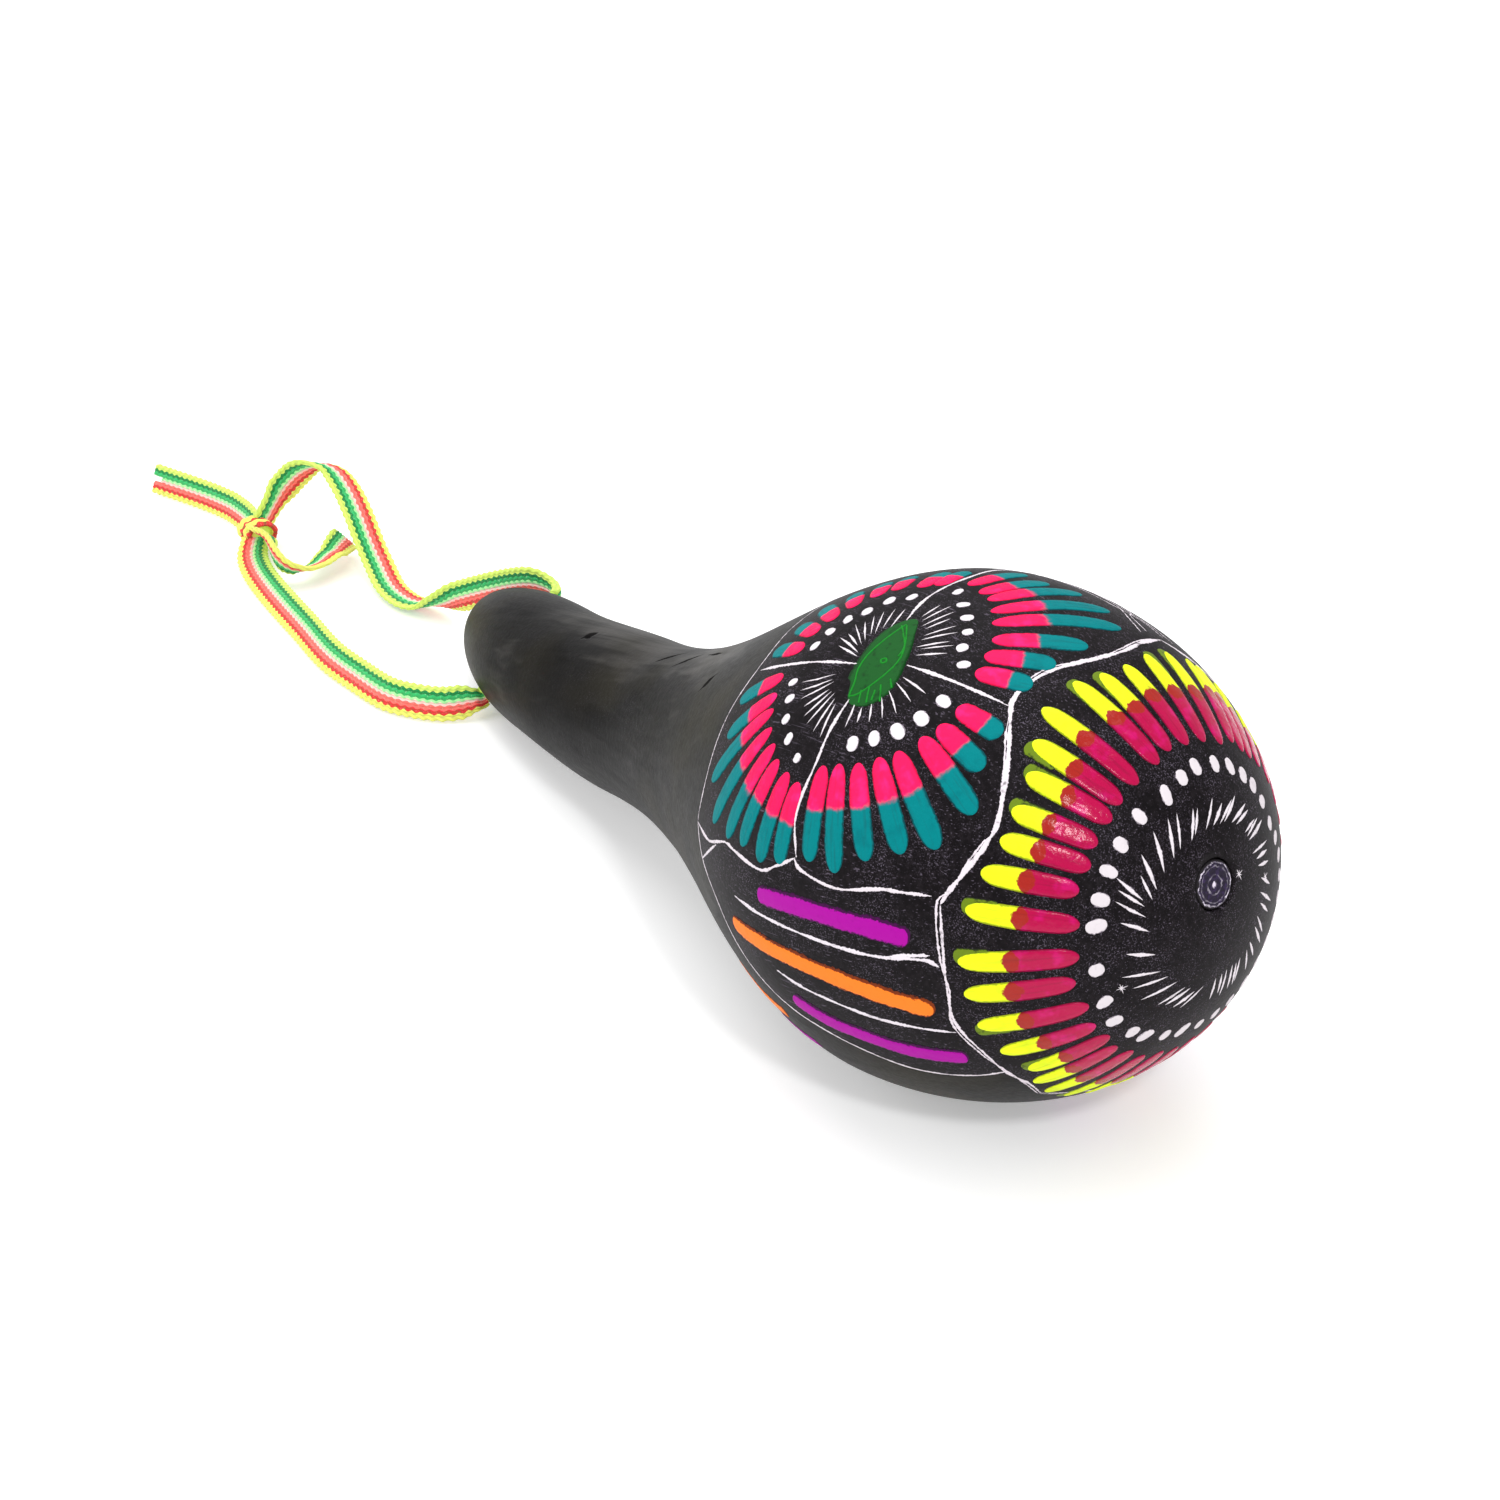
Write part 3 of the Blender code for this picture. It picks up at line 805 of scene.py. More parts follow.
@dataclass(frozen=True)
class BraidFinish:
    """Bright yarn in lengthwise stripes, with scalloped outer stripes edged by dark stitches, and painted
    shade in the hollows between stitches.
    """

    stripes: tuple[tuple[float, Colour], ...] = (
        (0.00, srgb(214, 242, 108)),
        (0.17, srgb(0, 138, 72)),
        (0.27, srgb(48, 184, 102)),
        (0.40, srgb(168, 240, 160)),
        (0.48, srgb(252, 210, 200)),
        (0.56, srgb(255, 112, 106)),
        (0.70, srgb(228, 48, 56)),
        (0.82, srgb(236, 238, 108)),
    )
    pitch: float = BRAID_PITCH
    scallops: tuple[float, float] = (0.19, 0.80)
    # Dark yarn of the stitches, also used as painted shade in the weave's hollows.
    stitch_and_hollow_shade: Colour = srgb(70, 92, 44)
    fluff: Colour = srgb(255, 255, 245)

    def material(self) -> Material:
        """The finish as a material; the mesh carries the place across and along the braid and hollows."""
        g = MaterialGraph("neon_braid")
        weave = g.attribute("weave")
        across, along, hollow = weave["X"], weave["Y"], weave["Z"]
        wave = along.math("SINE", along * (2 * math.pi / self.pitch))
        fibre = g.noise(g.place(), 2600.0, 2.0)
        place = across + wave * 0.022 + (fibre - 0.5) * 0.04
        ramp = g.node("ShaderNodeValToRGB", {"stops": self.stripes}, {"Fac": place})
        ramp.node.color_ramp.interpolation = "CONSTANT"
        # Painted shade: the weave's hollows go darker; the dark stitches along the scallops are the yarn's
        # own.
        dark = hollow * 0.4
        for boundary in self.scallops:
            dark += (1 - abs(place - boundary).above(0.005, 0.03)) * wave.above(0.1, 0.8) * 0.5
        colour = g.mix(dark.at_most(0.8), ramp["Color"], self.stitch_and_hollow_shade)
        colour = g.mix(fibre.above(0.55, 0.8) * 0.2, colour, self.fluff)
        # The yarn glows a little in its own colour as painted light.
        return g.finish(colour, 0.75, g.bump(fibre, 0.12 * MM, 0.5), 0.2, 0.14, {"Sheen Weight": 0.15})


class StrokeShape(Enum):
    """Outlines of a stroke: steps along, steps across, each end's share of the length, and its sharpness."""

    PETAL = (26, 8, 0.16, 2.0)
    DOT = (16, 12, 0.5, 2.3)
    BAR = (72, 8, 0.035, 2.4)
    RAY = (30, 4, 0.5, 1.2)
    LINE = (280, 4, 0.01, 1.6)
    LEAF = (30, 12, 0.5, 2.0)

    def stations(self) -> list[float]:
        """Places along the stroke, closer at its ends."""
        count, _, end, _ = self.value
        half = max(count // 5, 5) if end < 0.5 else max(count // 2, 5)
        first = [end * (1 - math.cos(math.pi / 2 * i / half)) for i in range(half)]
        middle = [end + (1 - 2 * end) * i / count for i in range(count + 1)] if end < 0.5 else [0.5]
        return [*first, *middle, *(1 - share for share in reversed(first))]

    def unit_mesh(self, name: str) -> Object:
        """A closed stroke, 1 long in X and from -1 to 1 in Y, whose film runs from -1 to 1 in Z."""
        _, columns, end, power = self.value
        mesh = bpy.data.meshes.new(name)
        with edited(mesh) as form:
            for top in (True, False):
                rows = []
                for share in self.stations():
                    past = 1 - min(min(share, 1 - share) / end, 1)
                    outline = max(1 - past**power, 0) ** (1 / power)
                    row = []
                    for i in range(columns + 1):
                        across = 2 * i / columns - 1
                        film = (1 - across**4) * (1 - (1 - outline) ** 4)
                        height = film if top else (-1 if film > 1e-9 else 0)
                        row.append(form.verts.new((share, across * outline, height)))
                    rows.append(row)
                for row, after in zip(rows, rows[1:]):
                    for i in range(columns):
                        corners = [row[i], after[i], after[i + 1], row[i + 1]]
                        form.faces.new(corners if top else reversed(corners))
            bmesh.ops.remove_doubles(form, verts=form.verts, dist=MERGE_DISTANCE / 10)
        return new_object(name, mesh)


@dataclass(frozen=True)
class Stroke:
    """One stroke of the brush or the graver: the places it goes through, its half widths and its shade."""

    places: Sequence[Vector]
    half_widths: Sequence[float]
    shade: float = 0.0


def curve_object(name: str, strokes: Iterable[Stroke]) -> Object:
    """A curve with a spline for each stroke, whose radius is the half width and whose tilt is the shade."""
    curve = bpy.data.curves.new(name, "CURVE")
    curve.dimensions = "3D"
    for stroke in strokes:
        spline = curve.splines.new("POLY")
        spline.points.add(len(stroke.places) - 1)
        for point, place, half_width in zip(spline.points, stroke.places, stroke.half_widths):
            point.co = (*place, 1)
            point.radius = half_width
            point.tilt = stroke.shade
    return new_object(name, curve)


class Painter:
    """Lays strokes on the rind: a flat form for each is bent along its route and pressed on the surface."""

    sink = 0.25 * MM
    lump_scale = 800.0
    edge_shift = (5.0, 3.0, 4.0)

    def __init__(self, gourd: GourdForm, skin: Object) -> None:
        """Keeps the gourd and its outer surface, and makes the tree that lays strokes."""
        self.gourd = gourd
        self.skin = skin
        self.tree = self._tree()

    def _tree(self) -> GeometryGraph:
        """The tree: a stroke is copied for each route, bent along it, cast on the skin and given a film."""
        kinds = dict.fromkeys(("Routes", "Stroke", "Skin"), "Object") | {"Centre": "Vector"}
        kinds |= dict.fromkeys(("Relief", "Sink", "Wander", "Wander Size", "Lumps"), "Float")
        g = GeometryGraph("strokes_on_rind", kinds)
        routes = g.geometry_of("Routes")
        size = g.node("GeometryNodeAttributeDomainSize", {"component": "CURVE"}, {"Geometry": routes})
        seats = g.node("GeometryNodePoints", {}, {"Count": size["Spline Count"]})[0]
        seats = g.stored(seats, "route", "INT", g.node("GeometryNodeInputIndex")[0])
        inputs = {"Points": seats, "Instance": g.geometry_of("Stroke")}
        copies = g.node("GeometryNodeInstanceOnPoints", {}, inputs)[0]
        copies = g.node("GeometryNodeRealizeInstances", {}, {"Geometry": copies})[0]
        unit = g.node("GeometryNodeInputPosition")[0]
        parts = g.node("ShaderNodeSeparateXYZ", {}, {"Vector": unit})
        whole = {"data_type": "INT"}
        route = g.node("GeometryNodeInputNamedAttribute", whole, {"Name": "route"})["Attribute"]

        def sampled(value: Socket) -> Outputs:
            """A value of the routes at each point's place along its own route."""
            settings = {"mode": "FACTOR", "data_type": "FLOAT", "use_all_curves": False}
            inputs = {"Curves": routes, "Value": value, "Factor": parts["X"], "Curve Index": route}
            return g.node("GeometryNodeSampleCurve", settings, inputs)

        width = sampled(g.node("GeometryNodeInputRadius")[0])
        shade = sampled(g.node("GeometryNodeInputCurveTilt")[0])["Value"]
        stroke = g.node("ShaderNodeCombineXYZ", {}, {"X": parts["X"], "Y": parts["Y"], "Z": shade})[0]
        copies = g.stored(copies, "film", "FLOAT", parts["Z"])
        copies = g.stored(copies, "stroke", "FLOAT_VECTOR", stroke)
        away = g.vector("SUBTRACT", width["Position"], g.inputs["Centre"])
        across = g.vector("NORMALIZE", g.vector("CROSS_PRODUCT", away, width["Tangent"]))
        fine = g.vector("SCALE", away, scale=1 / g.inputs["Wander Size"])
        fine = g.vector("ADD", fine, g.vector("SCALE", self.edge_shift, scale=parts["Y"]))
        ragged = (g.noise(fine, 1.0, 2.0) - 0.5) * 2
        reach = parts["Y"] * (width["Value"] + g.inputs["Wander"] * ragged)
        heading = g.vector("ADD", away, g.vector("SCALE", across, scale=reach))
        inputs = {"Target Geometry": g.geometry_of("Skin"), "Source Position": g.inputs["Centre"]}
        inputs |= {"Ray Direction": heading, "Ray Length": 1.0}
        hit = g.node("GeometryNodeRaycast", {}, inputs)
        lumps = 1 + (g.noise(heading, self.lump_scale, 2.0) - 0.5) * g.inputs["Lumps"]
        film = parts["Z"].at_least(0.0) * g.inputs["Relief"] * lumps
        film = film + parts["Z"].at_most(0.0) * g.inputs["Sink"]
        raised = g.vector("SCALE", hit["Hit Normal"], scale=film)
        inputs = {"Geometry": copies, "Position": g.vector("ADD", hit["Hit Position"], raised)}
        g.finish(g.node("GeometryNodeSetPosition", {}, inputs)[0])
        return g

    def lay(
        self,
        name: str,
        strokes: Iterable[Stroke],
        shape: StrokeShape,
        finish: Any,
        relief: float = 0.12 * MM,
        wander: float = 0.06 * MM,
        lumps: float = 0.6,
        grain: float = 0.7 * MM,
    ) -> Object:
        """Lays strokes of one shape and finish as one piece.

        Args:
            name: The piece's name.
            strokes: The strokes, planned on the sphere of the bowl's radius.
            shape: The outline of every stroke.
            finish: The finish, which makes its material.
            relief: Height of the film over the rind.
            wander: How far the edge strays.
            lumps: How uneven the film is.
            grain: Size of the notches in the edge.

        Returns:
            The mounted piece.
        """
        routes = curve_object(f"{name}_routes", strokes)
        unit = shape.unit_mesh(f"{name}_unit")
        values = {"Routes": routes, "Stroke": unit, "Skin": self.skin, "Centre": self.gourd.centre}
        values |= {"Relief": relief, "Sink": self.sink, "Lumps": lumps}
        values |= {"Wander": wander, "Wander Size": grain, "Material": finish.material()}
        piece = self.tree.make(name, values)
        remove(routes, unit)
        return mount(piece, "blackened_rind")


@dataclass
class Borders:
    """Lines between the painted panels, as (turn, polar angle) places; the far side mirrors the near one."""

    gourd: GourdForm
    mirror_turn: float = -30.0
    ring: Route = (
        (-30, 54), (-20, 51), (-10, 48.5), (0, 48.6), (9, 50), (16, 51), (24, 51), (31.5, 47.6),
        (38.5, 44.8), (54, 41.6), (61, 42.3), (67, 44), (74, 46.8), (78, 48.3), (92, 48), (101, 48.5),
        (111, 49.3), (123, 47.5), (133, 47.2), (141.5, 46.7), (150, 49),
    )
    neck: Route = (
        (-30, 125), (14, 125), (21, 124.3), (35, 122), (51, 124.2), (66.5, 124.3), (78.5, 126.7),
    )
    lower: Route = (
        (78.5, 126.7), (87, 123.3), (94.3, 116.2), (103, 109.6), (109, 101.7), (114.4, 91.4), (118, 83),
        (122.3, 74.4), (126.6, 67), (129.4, 60), (131.6, 53), (132.4, 47),
    )
    paint_edge: float = 1.2
    samples: int = 8

    def folded(self, turn: float) -> float:
        """The turn brought to the near side of the mirror, from the mirror turn to half a turn past it."""
        past = (turn - self.mirror_turn) % 360
        return self.mirror_turn + min(past, 360 - past)

    def painted(self, place: Vector) -> float:
        """How far a point on the rind is painted black, from 0 to 1."""
        turn, polar = self.gourd.angles(place)
        turn = self.folded(turn)
        ring = interpolate(self.ring, turn) - polar
        low = interpolate(tuple((p, t) for t, p in reversed(self.lower)), polar) - turn
        neck = interpolate(self.neck, turn) - polar
        return smoothstep(max(ring, min(low, neck)) / self.paint_edge + 0.5)

    def stroke(self, route: Route, half_width: float, mirrored: bool, swelling: float = 1) -> Stroke:
        """A stroke along places on the gourd.

        Args:
            route: Its (turn, polar angle) places on the near side.
            half_width: Its half width.
            mirrored: Whether it is on the far side.
            swelling: How much its width varies along it and falls off at its ends, from 0 to 1.

        Returns:
            The stroke.
        """
        turned = [(2 * self.mirror_turn - turn if mirrored else turn, polar) for turn, polar in route]
        places = smooth_route([self.gourd.spot(*place) for place in turned], self.samples)
        last = len(places) - 1
        half_widths = []
        for i in range(last + 1):
            swell = 0.9 + 0.22 * math.sin(0.83 * i + last) + 0.16 * math.sin(0.31 * i)
            end = min(0.3 + min(i, last - i) / 5, 1)
            half_widths.append(half_width * (1 + (swell * end - 1) * swelling))
        return Stroke(places, half_widths)


@dataclass
class GourdRind:
    """The gourd's shell: bent and turned outside, hollow, with a filling hole and a hole for the cord."""

    gourd: GourdForm
    borders: Borders
    wall: float = 3.5 * MM
    hollow_end: float = -150.0 * MM
    ring_step: float = 1.1 * MM
    facets: int = 192
    unevenness: float = 0.35 * MM
    unevenness_size: float = 24.0 * MM
    hollow_rings: int = 80
    hollow_facets: int = 64
    peg_rise: float = 4.35
    peg_hole_radius: float = 4.2 * MM
    peg_hole_depth: float = 10.0 * MM
    cord_hole_radius: float = 2.4 * MM
    drill_past: float = 6.0 * MM
    least_radius: float = 0.1 * MM

    def _tree(self) -> GeometryGraph:
        """The tree: a ring goes along the bent axis with each place's radius and leaves an uneven skin."""
        kinds = {"Centre Line": "Object", "Facets": "Int", "Unevenness": "Float", "Unevenness Size": "Float"}
        g = GeometryGraph("gourd_skin", kinds)
        inputs = {"Resolution": g.inputs["Facets"], "Radius": 1.0}
        ring = g.node("GeometryNodeCurvePrimitiveCircle", {}, inputs)[0]
        inputs = {"Curve": g.geometry_of("Centre Line"), "Profile Curve": ring}
        inputs["Scale"] = g.node("GeometryNodeInputRadius")[0]
        skin = g.node("GeometryNodeCurveToMesh", {}, inputs)[0]
        skin = g.node("GeometryNodeMergeByDistance", {}, {"Geometry": skin, "Distance": MERGE_DISTANCE})[0]
        finer = 1 / g.inputs["Unevenness Size"]
        place = g.vector("SCALE", g.node("GeometryNodeInputPosition")[0], scale=finer)
        lumps = (g.noise(place, 1.0, 1.0) - 0.5) * g.inputs["Unevenness"]
        offset = g.vector("SCALE", g.node("GeometryNodeInputNormal")[0], scale=lumps)
        g.finish(g.node("GeometryNodeSetPosition", {}, {"Geometry": skin, "Offset": offset})[0])
        return g

    def _skin(
        self, name: str, stations: Sequence[float], inset: float, facets: int, unevenness: float
    ) -> Object:
        """A closed skin through the rings at these stations, set in from the outside by a distance."""
        radii = [max(self.gourd.radius(station) - inset, self.least_radius) for station in stations[1:-1]]
        centres = [self.gourd.centre_line(station) for station in stations]
        line = curve_object(f"{name}_line", [Stroke(centres, [0, *radii, 0])])
        values = {"Centre Line": line, "Facets": facets, "Unevenness": unevenness}
        values |= {"Unevenness Size": self.unevenness_size, "Material": None}
        skin = self._tree().make(name, values)
        remove(line)
        with edited(skin.data) as form:
            bmesh.ops.recalc_face_normals(form, faces=form.faces)
        return skin

    def skin(self) -> Object:
        """The outside alone, flat where it rests on the floor, for strokes to be laid on."""
        skin = self._skin("rind", self.gourd.stations(self.ring_step), 0, self.facets, self.unevenness)
        for vertex in skin.data.vertices:
            vertex.co.z = max(vertex.co.z, 0)
        return skin

    def peg_seat(self) -> tuple[Vector, Vector]:
        """The middle of the filling hole on the outside, and the direction in which it faces."""
        gourd = self.gourd
        rise = math.radians(self.peg_rise)
        heading = gourd.axis * math.cos(rise) + gourd.up * math.sin(rise)
        depth = 1 / math.hypot(math.cos(rise) / gourd.crown_length, math.sin(rise) / gourd.bowl_radius)
        return gourd.centre + heading * depth, heading

    def finish(self, rind: Object, cord_ends: tuple[Vector, Vector]) -> Object:
        """Hollows and drills the skin, marks what is painted and dresses it.

        Args:
            rind: The outside alone.
            cord_ends: The ends of the cord in the neck.

        Returns:
            The mounted shell.
        """
        ends = (self.hollow_end, self.gourd.crown_length - self.wall)
        turns = [math.pi * i / self.hollow_rings for i in range(self.hollow_rings + 1)]
        stations = [between(ends, (1 - math.cos(turn)) / 2) for turn in turns]
        lower, upper = cord_ends
        past = (upper - lower).normalized() * self.drill_past
        surface, heading = self.peg_seat()
        deepest, outmost = surface - heading * self.peg_hole_depth, surface + heading * self.drill_past
        cutters = [
            self._skin("hollow", stations, self.wall, self.hollow_facets, 0),
            rod("filling_hole", deepest, outmost, self.peg_hole_radius, self.hollow_facets),
            rod("cord_hole", lower - past, upper + past, self.cord_hole_radius, self.hollow_facets),
        ]
        for cutter in cutters:
            boolean = rind.modifiers.new(cutter.name, "BOOLEAN")
            boolean.operation = "DIFFERENCE"
            boolean.solver = "EXACT"
            boolean.object = cutter
        apply_modifiers(rind)
        remove(*cutters)
        painted = rind.data.attributes.new("painted", "FLOAT_VECTOR", "POINT")
        for vertex in rind.data.vertices:
            painted.data[vertex.index].vector = (self.borders.painted(vertex.co), 0, 0)
        return mount(rind, "blackened_rind", "gourd_shell", material=RindFinish(self.gourd).material())


PETAL_SHARES = (0, 0.25, 0.5, 0.75, 1)
WORN_DOT = srgb(120, 108, 122)
RAY_WHITE = srgb(230, 222, 228)
WORN_RAY = srgb(96, 86, 98)
WORN_LINE = srgb(44, 38, 44)


@dataclass
class BlossomRing:
    """The ring of petals round the blossom end, with a ring of dots and scratched rays inside it."""

    painter: Painter
    pole: Vector
    petal_turns: Values = (
        52, 44, 38, 33, 24, 14.5, 5, -3.7, -11.5, -23.2, -32.4, -40.2, -49.7, -57.7, -66.6, -77.2, -89.8,
        -99.2, -109.8, -120, -129.5, -137.3, -146, -155.5, -164, -173,
    )
    far_petals: int = 13
    inner_reach: float = 28.8
    outer_reaches: Route = (
        (-195, 47), (-159, 49.5), (-149, 49), (-130, 44.5), (-109, 48.2), (-90, 48.8), (-70, 46.5),
        (-58, 44), (-42, 43.6), (-25, 48.4), (-14, 49.4), (0, 46), (26, 50), (37, 50), (53, 43), (80, 46),
        (110, 48), (165, 47),
    )
    outer_stray: float = 0.3
    inner_stray: float = 0.6
    lean: float = 1.2
    shade_stray: float = 0.7
    half_width: float = 1.55 * MM
    taper: Values = (0.8, 0.96, 1.04, 1.0, 0.84)
    wash_share: float = 0.4
    wash_shifts: Degrees = (0.8, 1.6)
    wash_steps: Values = (-6, -2.5, 0.7)
    wash_half_width: float = 1.24 * MM
    dot_turns: Values = (
        62, 51, 42, 34, 25, 15, 3.5, -6, -17.5, -32.5, -46, -57, -68, -78, -96, -111.5, -123, -135, -143,
        -154, -164, -175.5,
    )
    far_dots: int = 10
    dot_lengths: Degrees = (1.2, 1.7)
    dot_slant: float = 2.0
    dot_reaches: Route = (
        (-200, 22.5), (-164, 22.6), (-143, 24.7), (-123, 26), (-60, 25.6), (-33, 25), (-17, 23.8),
        (4, 25), (25, 24.3), (42, 22.7), (62, 19.5), (160, 22.5),
    )
    ray_turns: Values = (
        59, 53, 44, 36, 33, 30, 20, 15.5, 8.5, 4, -2, -9, -18, -22.5, -31.5, -38, -48, -58, -64, -65, -68,
        -73.5, -81.5, -96.5, -109.5, -116.5, -126, -136.5, -142, -148.5, -155, -166, -173, -179, -187,
        -193, -199, -210, -217, -233, -245, -260, -273, -287,
    )
    ray_starts: Route = (
        (-301, 9.9), (-287, 9.6), (-273, 8.3), (-233, 8.5), (-210, 9.8), (-179, 10.2), (-166, 11.2),
        (-148, 13.6), (-126, 13.9), (-109, 15.5), (-81, 16.9), (-65, 18.8), (-64, 17.1), (-48, 16.6),
        (-18, 15.7), (20, 14.5), (36, 12.3), (44, 10.6), (59, 9.9),
    )
    ray_slants: Route = (
        (-301, 42), (-287, 52), (-273, 43), (-245, 28), (-217, 5), (-199, 12), (-179, -5), (-166, -15),
        (-155, 30), (-136, 23), (-96, 18), (-65, 27), (-64, 53), (-31, 51), (-2, 58), (20, 59), (30, 46),
        (59, 42),
    )
    ray_lengths: Degrees = (4.4, 7.0)
    scuffs: Route = ((22.5, 6.5), (-108, 22.6), (78.5, 10.9))
    scuff_strokes: Route = ((20, 0.7), (75, 1.2), (120, 0.9), (160, 1.3))
    scuff_half_width: float = 0.09 * MM
    seed: int = 11

    def build(self) -> None:
        """Lays the petals, dots and rays."""
        chance = Random(self.seed)
        motif = MotifFrame(self.painter.gourd, self.pole, UP)
        self._lay_petals(motif, chance)
        self._lay_dots(motif, chance)
        self._lay_rays(motif, chance)

    @staticmethod
    def _reach(stops: Route, turn: float) -> float:
        """The reach at a turn, which is brought to the turns that the stops start from."""
        first = stops[0][0]
        return interpolate(stops, (turn - first) % 360 + first)

    def _lay_petals(self, motif: MotifFrame, chance: Random) -> None:
        """Lays the petals, and under some of them a thin first coat that shows past their tips."""
        petals, washes = [], []
        widths = [self.half_width * share for share in self.taper]
        for turn in closed_round(self.petal_turns, self.far_petals):
            outer = self._reach(self.outer_reaches, turn) + stray(chance, self.outer_stray)
            inner = self.inner_reach + stray(chance, self.inner_stray)
            lean = stray(chance, self.lean)
            places = [motif.spot(turn + lean * (k - 0.5), between((inner, outer), k)) for k in PETAL_SHARES]
            petals.append(Stroke(places, widths, stray(chance, self.shade_stray)))
            if chance.random() < self.wash_share:
                shift = chance.choice((-1, 1)) * chance.uniform(*self.wash_shifts)
                places = [motif.spot(turn + shift, outer + step) for step in self.wash_steps]
                washes.append(Stroke(places, (self.wash_half_width,) * len(places)))
        wash = FlatPaint("green_wash", srgb(104, 128, 24), srgb(34, 44, 20), 0.4, 0.9, 0.9)
        self.painter.lay("blossom_washes", washes, StrokeShape.PETAL, wash, relief=0.05 * MM)
        finish = PetalFinish(
            "yellow_and_crimson",
            inner=srgb(176, 0, 68),
            inner_touch=srgb(204, 8, 110),
            outer=srgb(232, 252, 20),
            rim=srgb(190, 206, 16),
            lap=srgb(160, 34, 26),
            joint=0.54,
            lap_length=0.08,
            inner_roughness=0.14,
            gloss=0.2,
            lumps=0.09 * MM,
            glow=0.05,
        )
        self.painter.lay("blossom_petals", petals, StrokeShape.PETAL, finish, relief=0.18 * MM, lumps=1.4)

    def _lay_dots(self, motif: MotifFrame, chance: Random) -> None:
        """Lays the white dots."""
        dots = []
        for turn in closed_round(self.dot_turns, self.far_dots):
            reach = self._reach(self.dot_reaches, turn)
            long = chance.uniform(*self.dot_lengths)
            slant = stray(chance, self.dot_slant)
            ends = [motif.spot(turn + slant * k, reach + long * k) for k in (-1, 1)]
            dots.append(Stroke(ends, (chance.uniform(0.78, 1.0) * MM, chance.uniform(0.78, 1.05) * MM)))
        white = FlatPaint("blossom_dot_white", srgb(222, 214, 219), WORN_DOT, 0.6, 0.8, 0.15)
        self.painter.lay("blossom_dots", dots, StrokeShape.DOT, white, relief=0.1 * MM, wander=0.34 * MM)

    def _lay_rays(self, motif: MotifFrame, chance: Random) -> None:
        """Lays the rays, which lean in a swirl round the peg, and small scuffs."""

        def flat(turn: float, reach: float) -> Vector:
            """A turn and reach as flat degrees."""
            return Vector((math.cos(math.radians(turn)), math.sin(math.radians(turn)))) * reach

        rays = []
        for turn in self.ray_turns:
            start = flat(turn, interpolate(self.ray_starts, turn) + stray(chance, 0.3))
            slant = interpolate(self.ray_slants, turn) + stray(chance, 4)
            outward = flat(turn + slant, chance.uniform(*self.ray_lengths))
            aside = Vector((-outward.y, outward.x)) * stray(chance, 0.06)
            places = [motif.flat_spot(*(start + outward * k + aside * k * (1 - k))) for k in (0, 0.5, 1)]
            rays.append(Stroke(places, (chance.uniform(0.2, 0.34) * MM,) * 3))
        for scuff in self.scuffs:
            for turn, reach in self.scuff_strokes:
                places = [motif.flat_spot(*(flat(*scuff) + flat(turn, k * reach))) for k in (-0.8, 0, 1)]
                rays.append(Stroke(places, (self.scuff_half_width,) * 3))
        white = FlatPaint("ray_white", RAY_WHITE, WORN_RAY, 0.7, 0.8, 0.3)
        self.painter.lay("blossom_rays", rays, StrokeShape.RAY, white, 0.04 * MM, 0.2 * MM, grain=0.3 * MM)


@dataclass(frozen=True)
class FlowerQuarter:
    """One quarter of a flower: the turns and reaches of its petals, its dots and its scratched rays."""

    turns: Values
    outer: Values
    inner: Degrees
    dot_turns: Degrees
    dots: Values
    dot_size: float
    rays: int
    ray_turns: tuple[Degrees, Degrees]
    ray_starts: Degrees
    ray_ends: Degrees


